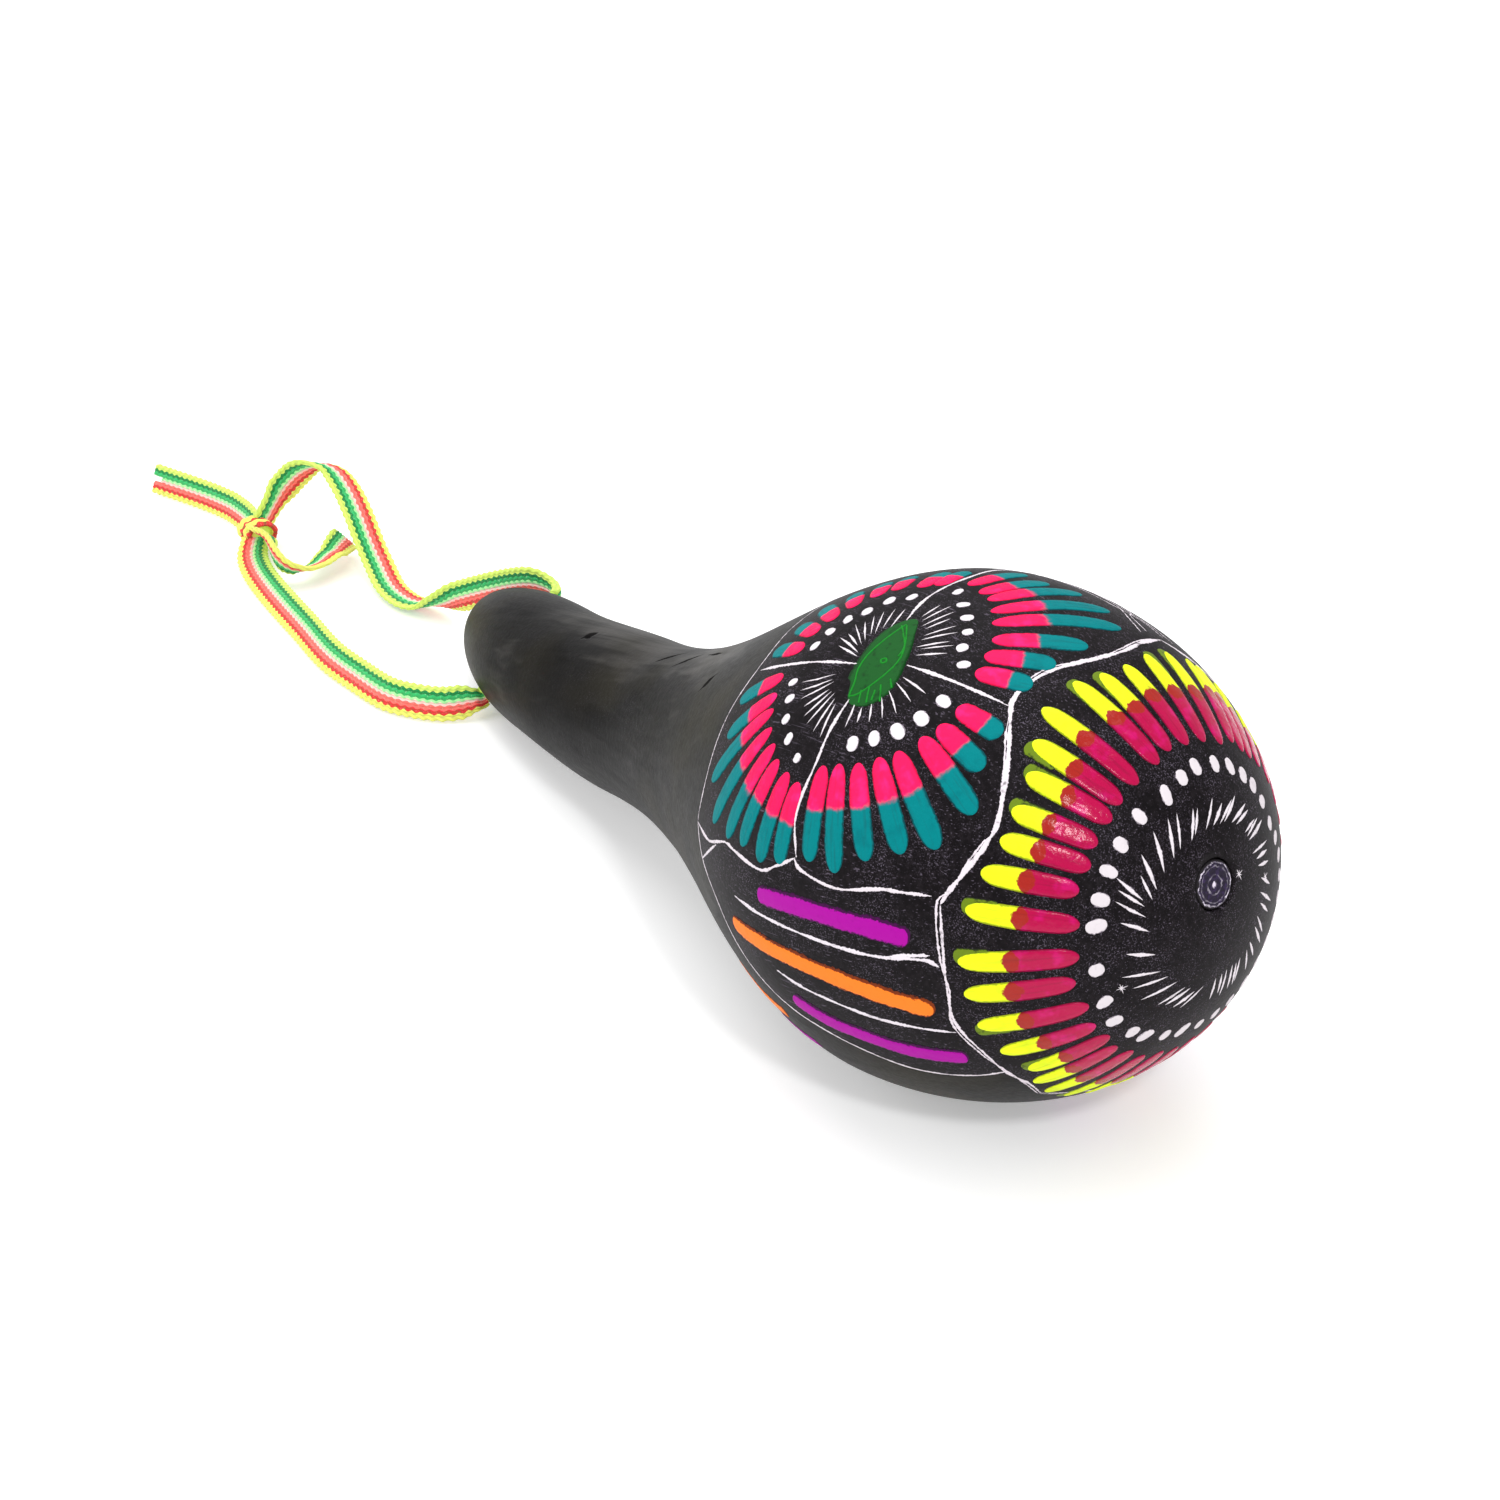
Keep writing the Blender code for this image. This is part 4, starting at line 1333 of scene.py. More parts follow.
@dataclass
class LeafFlower:
    """A large flower in four quarters round a leaf, with dots and scratched rays inside its petals."""

    painter: Painter
    borders: Borders
    pole: Vector
    mirrored: bool = False
    quarters: tuple[FlowerQuarter, ...] = (
        FlowerQuarter(
            (3.2, 15, 24.5, 37.5, 47.3, 58.5, 69.5, 79),
            (35, 37, 42.5, 44.7, 43.2, 43, 45, 43.4), (24.4, 23.6),
            (4, 62.5), (21.7, 21, 20.3, 19.4, 19.3), 1.1 * MM,
            7, ((1.5, 66), (6.5, 71)), (11, 10.5), (18, 15),
        ),
        FlowerQuarter(
            (91.2, 99.5, 109.3, 118, 128.5, 139.5, 148.5, 161),
            (46, 48, 48.2, 50.7, 53.6, 50, 42.3, 40), (28, 23),
            (98.5, 153), (24.3, 22.5, 21, 19.2, 19), 0.82 * MM,
            8, ((93, 139), (88.5, 149)), (10.5, 7.5), (18.5, 15.5),
        ),
        FlowerQuarter(
            (-17.8, -28.6, -39.2, -51.5, -61, -71, -78.5, -88.5),
            (35, 38, 44, 53, 54, 52, 47.5, 48), (23.5, 30.5),
            (-21.5, -87), (21.1, 20, 21.2, 22.3, 24, 27), 0.88 * MM,
            9, ((-31, -83.5), (-29, -84.5)), (10.2, 14.5), (17.5, 21.5),
        ),
        FlowerQuarter(
            (-101, -108, -121, -131, -143, -155, -166.5, -179),
            (39, 37.5, 36.5, 36, 37, 39, 37, 36.6), (27.5, 23),
            (-107, -176), (21.7, 21, 18.7, 19.3, 19.2, 19), 1.0 * MM,
            9, ((-102, -168), (-103.5, -170)), (10.5, 4.2), (17.5, 12),
        ),
    )
    half_width: float = 1.72 * MM
    least_pink: float = 0.32
    pink_reach: float = 3.0
    taper: Values = (0.74, 0.96, 1.04, 1.04, 0.92)
    leaf: Route = ((1.5, -14.2), (1.45, -8.4), (3.2, -1), (4.4, 5), (3, 9.8))
    leaf_half_widths: Values = (3.2, 4.0, 4.6, 5.6, 4.5)
    veins: tuple[Route, ...] = (
        ((1.7, 8.5), (0.8, 5.1), (-0.6, 2.2), (-1.1, -1.6), (-0.5, -5.8), (0.3, -9.4), (0.9, -12)),
        ((1.7, 8.5), (3.6, 7.2), (5.3, 4.3), (6.5, 0.9), (6.9, -1.9), (6.5, -4.2), (4.9, -7), (2.1, -9.6),
         (0.1, -11.3)),
        ((1.2, -11.7), (4, -8.4), (5.7, -5.6), (6, -3.6)),
        ((3.7, -0.8), (4.4, -1.5), (3.7, -2.2), (3, -1.5), (3.6, -0.8)),
        ((3.7, 6.3), (5, 9)),
        ((5, 5), (6.7, 8.4)),
        ((6.8, 5.2), (7.5, 7.6)),
        ((7.2, 3.7), (9.5, 7.1)),
        ((8.3, 1.8), (10, 3.5)),
    )
    vein_half_width: float = 0.2 * MM
    far_reach: float = 46.0
    seed: int = 23

    @property
    def motif(self) -> MotifFrame:
        """Turns and reaches about the flower's middle."""
        gourd = self.painter.gourd
        mirror_turn = self.borders.mirror_turn if self.mirrored else None
        return MotifFrame(gourd, self.pole, gourd.axis, mirror_turn)

    def flat_spots(self, places: Route) -> list[Vector]:
        """A smooth route through flat places about the flower's middle."""
        return smooth_route([self.motif.flat_spot(*place) for place in places], self.borders.samples)

    def build(self) -> None:
        """Lays the petals, dots, rays and the leaf."""
        tag = "far" if self.mirrored else "near"
        chance = Random(self.seed)
        petals, dots, rays = [], [], []
        for quarter in self.quarters:
            petals += self._petals(quarter, chance)
            dots += self._dots(quarter, chance)
            rays += self._rays(quarter, chance)
        finish = PetalFinish(
            f"pink_and_teal_{tag}",
            inner=srgb(255, 26, 88),
            inner_touch=srgb(252, 40, 122),
            outer=srgb(0, 118, 122),
            rim=srgb(0, 84, 92),
            lap=srgb(128, 44, 104),
            joint=FLOWER_JOINT,
            lap_length=0.0,
            inner_roughness=0.45,
            gloss=0.05,
            glow=0.18,
            bow=0.02,
            blend=0.035,
        )
        lay = self.painter.lay
        lay(f"flower_petals_{tag}", petals, StrokeShape.PETAL, finish, relief=0.14 * MM, wander=0.2 * MM)
        white = FlatPaint(f"dot_white_{tag}", srgb(226, 219, 225), WORN_DOT, 0.6, 0.8, 0.15)
        lay(f"flower_dots_{tag}", dots, StrokeShape.DOT, white, relief=0.1 * MM, wander=0.34 * MM)
        line = FlatPaint(f"ray_white_{tag}", RAY_WHITE, WORN_RAY, 0.7, 0.8, 0.3)
        lay(f"flower_rays_{tag}", rays, StrokeShape.RAY, line, 0.04 * MM, 0.18 * MM, grain=0.3 * MM)
        self._lay_leaf(tag)

    def _petals(self, quarter: FlowerQuarter, chance: Random) -> list[Stroke]:
        """The petals of a quarter; the shorter a petal, the larger the pink share of it."""
        petals = []
        widths = [self.half_width * share for share in self.taper]
        for i, (turn, outer) in enumerate(zip(quarter.turns, quarter.outer)):
            outer = min(outer, self.far_reach) if self.mirrored else outer
            inner = between(quarter.inner, i / (len(quarter.outer) - 1)) + stray(chance, 0.5)
            places = [self.motif.spot(turn, between((inner, outer), k)) for k in PETAL_SHARES]
            pink = self.least_pink + self.pink_reach / (outer - inner) + stray(chance, 0.03)
            petals.append(Stroke(places, widths, (pink - FLOWER_JOINT) / SHADE_REACH))
        return petals

    def _dots(self, quarter: FlowerQuarter, chance: Random) -> list[Stroke]:
        """The dots of a quarter."""
        dots = []
        for i, reach in enumerate(quarter.dots):
            turn = between(quarter.dot_turns, i / (len(quarter.dots) - 1))
            long = quarter.dot_size / MM * chance.uniform(1.25, 1.75)
            slant = stray(chance, 2)
            ends = [self.motif.spot(turn + slant * k, reach + long * k) for k in (-1, 1)]
            dots.append(Stroke(ends, [quarter.dot_size * chance.uniform(0.85, 1.15) for _ in ends]))
        return dots

    def _rays(self, quarter: FlowerQuarter, chance: Random) -> list[Stroke]:
        """The scratched rays of a quarter."""
        rays = []
        for i in range(quarter.rays):
            share = i / (quarter.rays - 1)
            turns = [between(ends, share) + stray(chance, 1.5) for ends in quarter.ray_turns]
            bounds = (quarter.ray_starts, quarter.ray_ends)
            reaches = [between(ends, share) + stray(chance, 1) for ends in bounds]
            places = [self.motif.spot(between(turns, k), between(reaches, k)) for k in (0, 0.5, 1)]
            rays.append(Stroke(places, (chance.uniform(0.15, 0.26) * MM,) * 3))
        return rays

    def _lay_leaf(self, tag: str) -> None:
        """Lays the leaf's thin coat and its bright veins."""
        places = self.flat_spots(self.leaf)
        stops = [(i / (len(self.leaf) - 1), width * MM) for i, width in enumerate(self.leaf_half_widths)]
        widths = [interpolate(stops, i / (len(places) - 1)) for i in range(len(places))]
        coat = FlatPaint(f"leaf_green_{tag}", srgb(16, 84, 28), srgb(10, 50, 18), 0.5, 0.5, 0.7, 0.8)
        leaf = [Stroke(places, widths)]
        lay = self.painter.lay
        lay(f"leaf_{tag}", leaf, StrokeShape.LEAF, coat, relief=0.07 * MM, wander=0.1 * MM)
        routes = [self.flat_spots(vein) for vein in self.veins]
        veins = [Stroke(route, (self.vein_half_width,) * len(route)) for route in routes]
        bright = FlatPaint(f"vein_green_{tag}", srgb(14, 128, 30), srgb(14, 74, 24), 0.5, 0.9, 0.5, 1.4)
        lay(f"leaf_veins_{tag}", veins, StrokeShape.LINE, bright, relief=0.14 * MM, wander=0.12 * MM)


@dataclass
class BarPanel:
    """Purple and orange bars along the side of the bowl, with scratched lines between them."""

    painter: Painter
    borders: Borders
    mirrored: bool = False
    half_width: float = 1.65 * MM
    swelling: float = 0.15
    fringe_half_width: float = 1.782 * MM
    fringe_swelling: float = 0.2
    fringe_shift: float = -0.5
    scratch_half_width: float = 0.36 * MM
    purple: tuple[Route, ...] = (
        ((85.6, 93), (85.3, 80.7), (85.7, 70.4), (86.4, 61.5), (87.6, 54.5)),
        ((109.8, 89.5), (113.4, 81.5), (116, 72.7), (120, 62.6), (123.7, 51.5)),
        ((127, 108), (127.5, 101), (127.8, 94.3)),
    )
    orange: tuple[Route, ...] = (
        ((96.8, 107), (97.4, 93.3), (98.8, 80.6), (101, 69.6), (103.8, 60.2), (106.8, 52.5)),
        ((119, 122), (119.2, 111.6), (119.1, 98.8)),
    )
    scratches: tuple[Route, ...] = (
        ((89, 103.4), (90, 93), (91, 81.4), (92, 71), (92.8, 62), (92.5, 52), (94.2, 49)),
        ((102.8, 91.3), (105, 84.5), (107, 75.5), (109.2, 67.6), (111.6, 58.4), (114, 50)),
        ((92.6, 60), (91.6, 54), (91.2, 50.5)),
    )

    def _strokes(
        self, routes: Sequence[Route], half_width: float, swelling: float, shift: float = 0
    ) -> list[Stroke]:
        """A stroke along each route, shifted to one side by so many degrees."""
        shifted = [[(turn + shift, polar + shift) for turn, polar in route] for route in routes]
        return [self.borders.stroke(route, half_width, self.mirrored, swelling) for route in shifted]

    def build(self) -> None:
        """Lays each colour of bars over a thin dark first coat, and then the scratches."""
        tag = "far" if self.mirrored else "near"
        lay = self.painter.lay
        for name, routes, colour, fringe in (
            ("purple", self.purple, srgb(167, 0, 153), srgb(66, 2, 68)),
            ("orange", self.orange, srgb(252, 127, 36), srgb(120, 48, 12)),
        ):
            under = FlatPaint(f"{name}_fringe_{tag}", fringe, srgb(24, 18, 24), 0.6, 1.0, 0.9, 2.0)
            strokes = self._strokes(routes, self.fringe_half_width, self.fringe_swelling, self.fringe_shift)
            fringes = f"bar_fringes_{name}_{tag}"
            lay(fringes, strokes, StrokeShape.BAR, under, relief=0.04 * MM, wander=0.35 * MM)
            coat = FlatPaint(f"{name}_bar_{tag}", colour, fringe, 0.5, 0.9, 0.12, 1.6, 0.05)
            strokes = self._strokes(routes, self.half_width, self.swelling)
            lay(f"bars_{name}_{tag}", strokes, StrokeShape.BAR, coat, relief=0.12 * MM, wander=0.45 * MM)
        white = FlatPaint(f"scratch_{tag}", srgb(230, 222, 230), srgb(40, 34, 40), 0.7, 1.0, 0.35, 1.6)
        scratches = self._strokes(self.scratches, self.scratch_half_width, 1)
        lay(f"bar_scratches_{tag}", scratches, StrokeShape.LINE, white, 0.05 * MM, 0.3 * MM, grain=0.4 * MM)


@dataclass
class PanelLines:
    """The scratched white lines between the panels: single ones, and some that were scratched twice."""

    painter: Painter
    borders: Borders
    half_width: float = 0.33 * MM
    lower_share: float = 0.7
    neck_share: float = 0.5
    bold_share: float = 1.3
    faint_share: float = 0.75
    beside_share: float = 0.5
    hair_share: float = 0.4
    beside_shifts: Values = (-0.4, 0.65, 0.65)
    faint_from: float = 78.0
    lines: tuple[Route, ...] = (
        ((36.8, 119.6), (35.7, 107.7), (34, 95.6), (32.4, 85.2)),
        ((40.4, 81), (47.7, 81.6), (55.3, 81.6), (62.7, 82.6), (67.8, 82.8), (75, 81)),
        ((28.8, 73.9), (27.9, 64.3), (26.3, 50.5)),
        ((18.2, 83.6), (10.5, 86), (3.5, 86.8), (-4, 87.5), (-15.5, 90.1), (-25, 89)),
        ((78.5, 126.7), (80.4, 117.7), (78, 107.7), (78.6, 102.6), (80, 92), (77.8, 86.5), (75, 81.3)),
        ((87, 123.3), (80, 112.7)),
        ((75.2, 81.7), (77.2, 79.4), (79, 70.4), (77, 60.5), (76.7, 56.5), (76.3, 50)),
    )
    hairlines: tuple[Route, ...] = (
        ((-25, 88), (-25.8, 77.5), (-26.3, 71), (-28, 66), (-31.5, 62.5), (-33, 56)),
        ((-29, 84), (-29.5, 74), (-31, 67), (-34, 61), (-36, 55)),
    )

    def build(self) -> None:
        """Lays the lines on both sides."""
        stroke = self.borders.stroke
        strokes, doubles = [], []
        for mirrored in (False, True):
            strokes += [stroke(route, self.half_width, mirrored) for route in self.lines]
            strokes.append(stroke(self.borders.lower, self.half_width * self.lower_share, mirrored))
            ring = self.borders.ring
            shifts = itertools.cycle(self.beside_shifts)
            for route, share in (
                (self.borders.neck, self.neck_share),
                ([place for place in ring if place[0] <= self.faint_from], self.bold_share),
                ([place for place in ring if place[0] >= self.faint_from], self.faint_share),
                ([(turn, polar + shift) for (turn, polar), shift in zip(ring, shifts)], self.beside_share),
                *((hairline, self.hair_share) for hairline in self.hairlines),
            ):
                doubles.append(stroke(route, self.half_width * share, mirrored))
        white = FlatPaint("panel_line", srgb(226, 217, 224), WORN_LINE, 0.7, 1.0, 0.25, 1.5)
        lay = self.painter.lay
        lay("panel_lines", strokes, StrokeShape.LINE, white, 0.05 * MM, 0.28 * MM, grain=0.4 * MM)
        worn = FlatPaint("border_line", srgb(228, 218, 226), WORN_LINE, 0.7, 1.0, 0.7, 1.8)
        lay("border_lines", doubles, StrokeShape.LINE, worn, 0.04 * MM, 0.34 * MM, grain=0.45 * MM)


@dataclass
class BlossomPeg:
    """The turned wooden peg that closes the filling hole."""

    rind: GourdRind
    radius: float = 3.9 * MM
    taper: float = 0.3 * MM
    length: float = 5.5 * MM
    edge_round: float = 0.5 * MM
    recess: float = 0.3 * MM
    facets: int = 96
    edge_steps: int = 6

    def build(self) -> Object:
        """Turns the peg, dresses it and mounts it."""
        surface, heading = self.rind.peg_seat()
        face = surface - heading * self.recess
        inner = self.radius - self.taper
        profile = [(0, 0), (self.radius * 0.5, 0)]
        for i in range(self.edge_steps + 1):
            angle = math.pi / 2 * i / self.edge_steps
            rounded = self.radius - self.edge_round * (1 - math.sin(angle))
            profile.append((rounded, -self.edge_round * (1 - math.cos(angle))))
        bottom = -self.length
        profile += [(inner, bottom + self.edge_round), (inner - self.edge_round, bottom), (0, bottom)]
        mesh = bpy.data.meshes.new("blossom_peg")
        with edited(mesh) as form:
            line = [form.verts.new((radius, 0, height)) for radius, height in profile]
            edges = [form.edges.new(pair) for pair in zip(line, line[1:])]
            turned = {"axis": UP, "cent": (0, 0, 0), "angle": 2 * math.pi, "steps": self.facets}
            bmesh.ops.spin(form, geom=[*line, *edges], **turned)
            bmesh.ops.remove_doubles(form, verts=form.verts, dist=MERGE_DISTANCE)
            bmesh.ops.recalc_face_normals(form, faces=form.faces)
            bmesh.ops.transform(form, matrix=aimed(face, heading), verts=form.verts)
        peg = new_object("blossom_peg", mesh)
        return mount(peg, "stained_peg", "blossom_plug", material=PegFinish(face, heading).material())


@dataclass
class RattleSeeds:
    """The loose seeds, which are the CAD's own, in their finish."""

    prefix: str = "rattle_seed_"

    def dress(self) -> None:
        """Puts the finish on every seed."""
        material = SeedFinish().material()
        for name, node in frame["nodes"].items():
            if name.startswith(self.prefix):
                for place in node.material_slots:
                    place.material = material
                LOG.info("%s: dressed", name)


@dataclass
class BraidStretch:
    """One free stretch of the braid, as points of (x, y, z, lean)."""

    name: str
    points: list[Vector]
    gather_length: float
    frayed: bool = False


@dataclass
class BraidWeave:
    """Lofts the braid through rings, with the relief of its stitches."""

    columns: int = 40
    least_columns: int = 4
    ribs: int = 8
    pitch: float = BRAID_PITCH
    slant: float = 0.7
    face_shift: float = 0.25
    hollow_height: float = 0.62
    wave_depth: float = 0.45
    edge_ripple: float = 0.04
    edge_power: int = 6

    def __post_init__(self) -> None:
        """Starts with nothing lofted."""
        self.places = []
        self.weave = []
        self.faces = []

    def stitch(self, share: float, distance: float, side: int) -> tuple[float, float]:
        """The relief at a place.

        Args:
            share: Place across, from the green edge to the other.
            distance: Place along.
            side: 1 on one face and -1 on the other.

        Returns:
            Height as a share of the half thickness, and how hollow the place is.
        """
        rib = share * self.ribs
        middle = rib - math.floor(rib) - 0.5
        slope = self.slant if int(rib) % 2 else -self.slant
        stitches = distance / self.pitch + slope * middle + self.face_shift * side
        wave = 0.5 + 0.5 * math.cos(2 * math.pi * stitches)
        bulge = math.sqrt(max(1 - (2 * middle) ** 2, 0))
        height = between((self.hollow_height, 1), bulge * (1 - self.wave_depth * (1 - wave)))
        return height, min((1 - bulge) * 0.7 + (1 - wave) ** 2 * 0.5, 1)

    def loft(self, rings: Sequence[BraidRing], window: Degrees = (0, 1), closed: bool = False) -> None:
        """Adds a loft.

        Args:
            rings: The cross-sections in order.
            window: The part of the braid's width that is lofted.
            closed: Whether the last ring joins the first.
        """
        columns = max(round(self.columns * (window[1] - window[0])), self.least_columns)
        count = 2 * (columns + 1)
        base = len(self.places)
        for ring in rings:
            edge = 1 + self.edge_ripple * math.cos(2 * math.pi * ring.distance / self.pitch)
            for side in (1, -1):
                for j in range(columns + 1):
                    part = j / columns if side > 0 else 1 - j / columns
                    share = between(window, part)
                    height, hollow = self.stitch(share, ring.distance, side)
                    height *= math.sqrt(max(1 - abs(2 * part - 1) ** self.edge_power, 0))
                    aside = ring.green * ((1 - 2 * share) * ring.half_width * edge)
                    self.places.append(ring.place + aside + ring.face * (side * ring.half_thick * height))
                    self.weave.append((share, ring.distance, hollow))
        starts = [base + i * count for i in range(len(rings))]
        for this, after in zip(starts, [*starts[1:], starts[0]] if closed else starts[1:]):
            for j in range(count):
                k = (j + 1) % count
                self.faces.append((this + j, this + k, after + k, after + j))
        if not closed:
            self.faces.append(tuple(range(base + count - 1, base - 1, -1)))
            self.faces.append(tuple(range(starts[-1], starts[-1] + count)))

    def piece(self, name: str) -> Object:
        """The lofts as one object, with the place in the weave on every point."""
        mesh = bpy.data.meshes.new(name)
        mesh.from_pydata(self.places, [], self.faces)
        stored = mesh.attributes.new("weave", "FLOAT_VECTOR", "POINT")
        for item, value in zip(stored.data, self.weave):
            item.vector = value
        mesh.shade_smooth()
        return new_object(name, mesh)


@dataclass(frozen=True)
class BraidRing:
    """A cross-section of the braid: its middle, the ways to its green edge and off its face, its sizes."""

    place: Vector
    green: Vector
    face: Vector
    half_width: float
    half_thick: float
    distance: float


@dataclass
class WristBraid:
    """The flat braid that goes through the neck and is knotted into a loop with two tails."""

    gourd: GourdForm
    hole_from_tip: float = 23.5 * MM
    width: float = 7.5 * MM
    thickness: float = 1.4 * MM
    gathered_radius: float = 2.1 * MM
    gather_lengths: tuple[float, float] = (6.0 * MM, 12.0 * MM)
    mouth_run: float = 0.6 * MM
    step: float = 0.24 * MM
    samples: int = 40
    aim_steps: int = 4
    gathered_thickening: float = 0.7
    fray: tuple[tuple[Degrees, float], ...] = (
        ((0, 0.42), 0.0), ((0.42, 0.58), 3.0 * MM), ((0.58, 1), 0.5 * MM),
    )
    fray_length: float = 5.0 * MM
    knot_radii: tuple[float, float, float] = (5.4 * MM, 4.6 * MM, 4.3 * MM)
    knot_core: float = 0.64
    core_facets: tuple[int, int] = (48, 32)
    knot_depth: float = 0.5
    knot_wraps: tuple[tuple[float, float, Degrees], ...] = (
        (-1.3 * MM, 1.4 * MM, (0.74, 1.0)),
        (1.5 * MM, 1.1 * MM, (0.76, 1.0)),
    )
    wrap_half_width: float = 6.6 * MM
    wrap_share: float = 0.68
    wrap_steps: int = 120
    wrap_phase: float = 0.6
    neck_facets: int = 24
    knot_place: Degrees = (-106.5, -7.1)
    lower_route: tuple[RoutePoint, ...] = (
        (3.1, -15.2, 0.3, 30), (0.4, -20.5, 0, 30), (-4.7, -24.6, 0, 32), (-12.1, -27.5, 0, 36),
        (-23.6, -27.7, 0, 44), (-37.3, -27.1, 0, 50), (-54.5, -23.9, 0, 55), (-69.1, -21.2, 0, 62),
        (-80.8, -18.7, 0, 70), (-90.9, -16.1, 0.3, 78), (-99.1, -12.8, 0.8, 84),
    )
    upper_route: tuple[RoutePoint, ...] = (
        (-5.5, 13.0, 15.0, 0), (-9.5, 12.9, 14.9, 0), (-14.3, 11.5, 14.3, 0), (-23.9, 9.9, 10.3, 0),
        (-34.6, 7.3, 5, 0), (-40.9, 5.9, 2.1, -40), (-47.6, 4.8, 1.1, -80), (-53.8, 3.3, 0.8, -90),
        (-61.8, 3.8, 1.3, -90), (-70.8, 5.9, 4.2, -90), (-76.6, 6.9, 8, -90), (-81.9, 7.9, 12, -90),
        (-88.5, 8.9, 16, -88), (-94.8, 8.9, 18.4, -80), (-99, 6.7, 18.5, -65), (-102.9, 4.8, 15.4, -35),
        (-106.4, 2.9, 11.5, -12), (-108.4, 0.1, 7.4, 0),
    )
    short_tail_route: tuple[RoutePoint, ...] = (
        (-97, -10.2, 4.4, -128), (-91.8, -11.6, 3.2, -166), (-85.5, -13, 2.1, -168),
        (-81.3, -12.2, 1.5, -142), (-79.5, -9.5, 2.1, -114), (-79.8, -5.5, 2.3, -108),
        (-83.7, 0.8, 3.2, -92), (-90, 7.8, 0.9, -50),
    )
    long_tail_route: tuple[RoutePoint, ...] = (
        (-114, -5.7, 1, 25), (-119.5, -4.8, 0.6, 25), (-125.5, -4.5, 0.4, 25), (-133.7, -5.3, 0.1, 25),
        (-142, -7.2, 0.1, 25), (-148.5, -8.9, 0.1, 25), (-154.9, -10.5, 0.1, 25),
    )

    def ends_in_neck(self) -> tuple[Vector, Vector]:
        """The lower and upper end of the stretch inside the neck, from its CAD tube."""
        places = [vertex.co.copy() for vertex in frame["nodes"]["cord_in_neck"].data.vertices]
        middle = sum(place.y for place in places) / len(places)
        lower = [place for place in places if place.y < middle]
        upper = [place for place in places if place.y >= middle]
        return sum(lower, Vector()) / len(lower), sum(upper, Vector()) / len(upper)

    def rest_height(self, lean: float) -> float:
        """Height of the middle of a braid that lies on the floor at this lean."""
        upright = abs(math.cos(math.radians(lean))) * self.width / 2
        flat = abs(math.sin(math.radians(lean))) * self.thickness / 2
        return CLEARANCE + upright + flat

    def anchor(self) -> Vector:
        """The floor under the middle of the neck's hole, from which routes are measured."""
        middle = self.gourd.centre_line(self.gourd.tip + self.hole_from_tip)
        return Vector((middle.x, middle.y, 0))

    def route(self, points: Sequence[RoutePoint]) -> list[Vector]:
        """Route points as (x, y, lift, lean) in metres."""
        return [Vector((*(self.anchor() + Vector(point[:3]) * MM), point[3])) for point in points]

    def place_of(self, point: Vector) -> Vector:
        """A route point's place, with its lean."""
        return Vector((point.x, point.y, point.z + self.rest_height(point.w), point.w))

    def with_lift(self, place: Vector, lean: float) -> Vector:
        """The route point that lies at this place."""
        return Vector((place.x, place.y, place.z - self.rest_height(lean), lean))

    def knot_middle(self) -> Vector:
        """The middle of the knot."""
        x, y = self.knot_place
        return self.anchor() + Vector((x * MM, y * MM, CLEARANCE + self.knot_radii[2]))

    def knot_end(self, nearest: Vector) -> Vector:
        """Where a stretch goes into the knot, on the side of its nearest route point."""
        outward = (self.place_of(nearest).to_3d() - self.knot_middle()).normalized()
        reach = 1 / Vector([side / radius for side, radius in zip(outward, self.knot_radii)]).length
        return self.with_lift(self.knot_middle() + outward * reach * self.knot_depth, nearest.w)

    def stretches(self) -> list[BraidStretch]:
        """The four free stretches, each a smooth route at even steps."""
        lower_mouth, upper_mouth = self.ends_in_neck()
        heading = (upper_mouth - lower_mouth).normalized()
        lower_gather, upper_gather = self.gather_lengths
        made = []
        for name, route, gather, mouth, outward in (
            ("lower_strand", self.lower_route, lower_gather, lower_mouth, -heading),
            ("upper_strand", self.upper_route, upper_gather, upper_mouth, heading),
            ("tail_short", self.short_tail_route, 0, None, None),
            ("tail_long", self.long_tail_route, 0, None, None),
        ):
            points = self.route(route)
            if gather:
                runs = [mouth + outward * (CLEARANCE + self.mouth_run * k) for k in (0, 1)]
                run = [self.with_lift(place, points[0].w) for place in runs]
                points = [*run, *points, self.knot_end(points[-1])]
            else:
                points = [self.knot_end(points[0]), *points]
            fine = [self.place_of(point) for point in smooth_route(points, self.samples)]
            places = even_steps(fine, self.step)
            made.append(BraidStretch(name, places, gather, name == "tail_long"))
        return made

    def rings(self, stretch: BraidStretch) -> list[BraidRing]:
        """The cross-sections along a stretch, gathered where it comes out of the neck."""
        places = [point.to_3d() for point in stretch.points]
        narrow = 2 * self.gathered_radius / self.width
        distance = 0.0
        rings = []
        for i, point in enumerate(stretch.points):
            if i:
                distance += (places[i] - places[i - 1]).length
            ahead, behind = min(i + self.aim_steps, len(places) - 1), max(i - self.aim_steps, 0)
            travel = (places[ahead] - places[behind]).normalized()
            level = (UP - travel * UP.dot(travel)).normalized()
            lean = math.radians(point.w)
            green = level * math.cos(lean) + travel.cross(level) * math.sin(lean)
            opened = smoothstep(distance / stretch.gather_length) if stretch.gather_length else 1
            half_width = self.width / 2 * between((narrow, 1), opened)
            half_thick = self.thickness / 2 * (1 + self.gathered_thickening * (1 - opened))
            rings.append(BraidRing(places[i], green, travel.cross(green), half_width, half_thick, distance))
        return rings

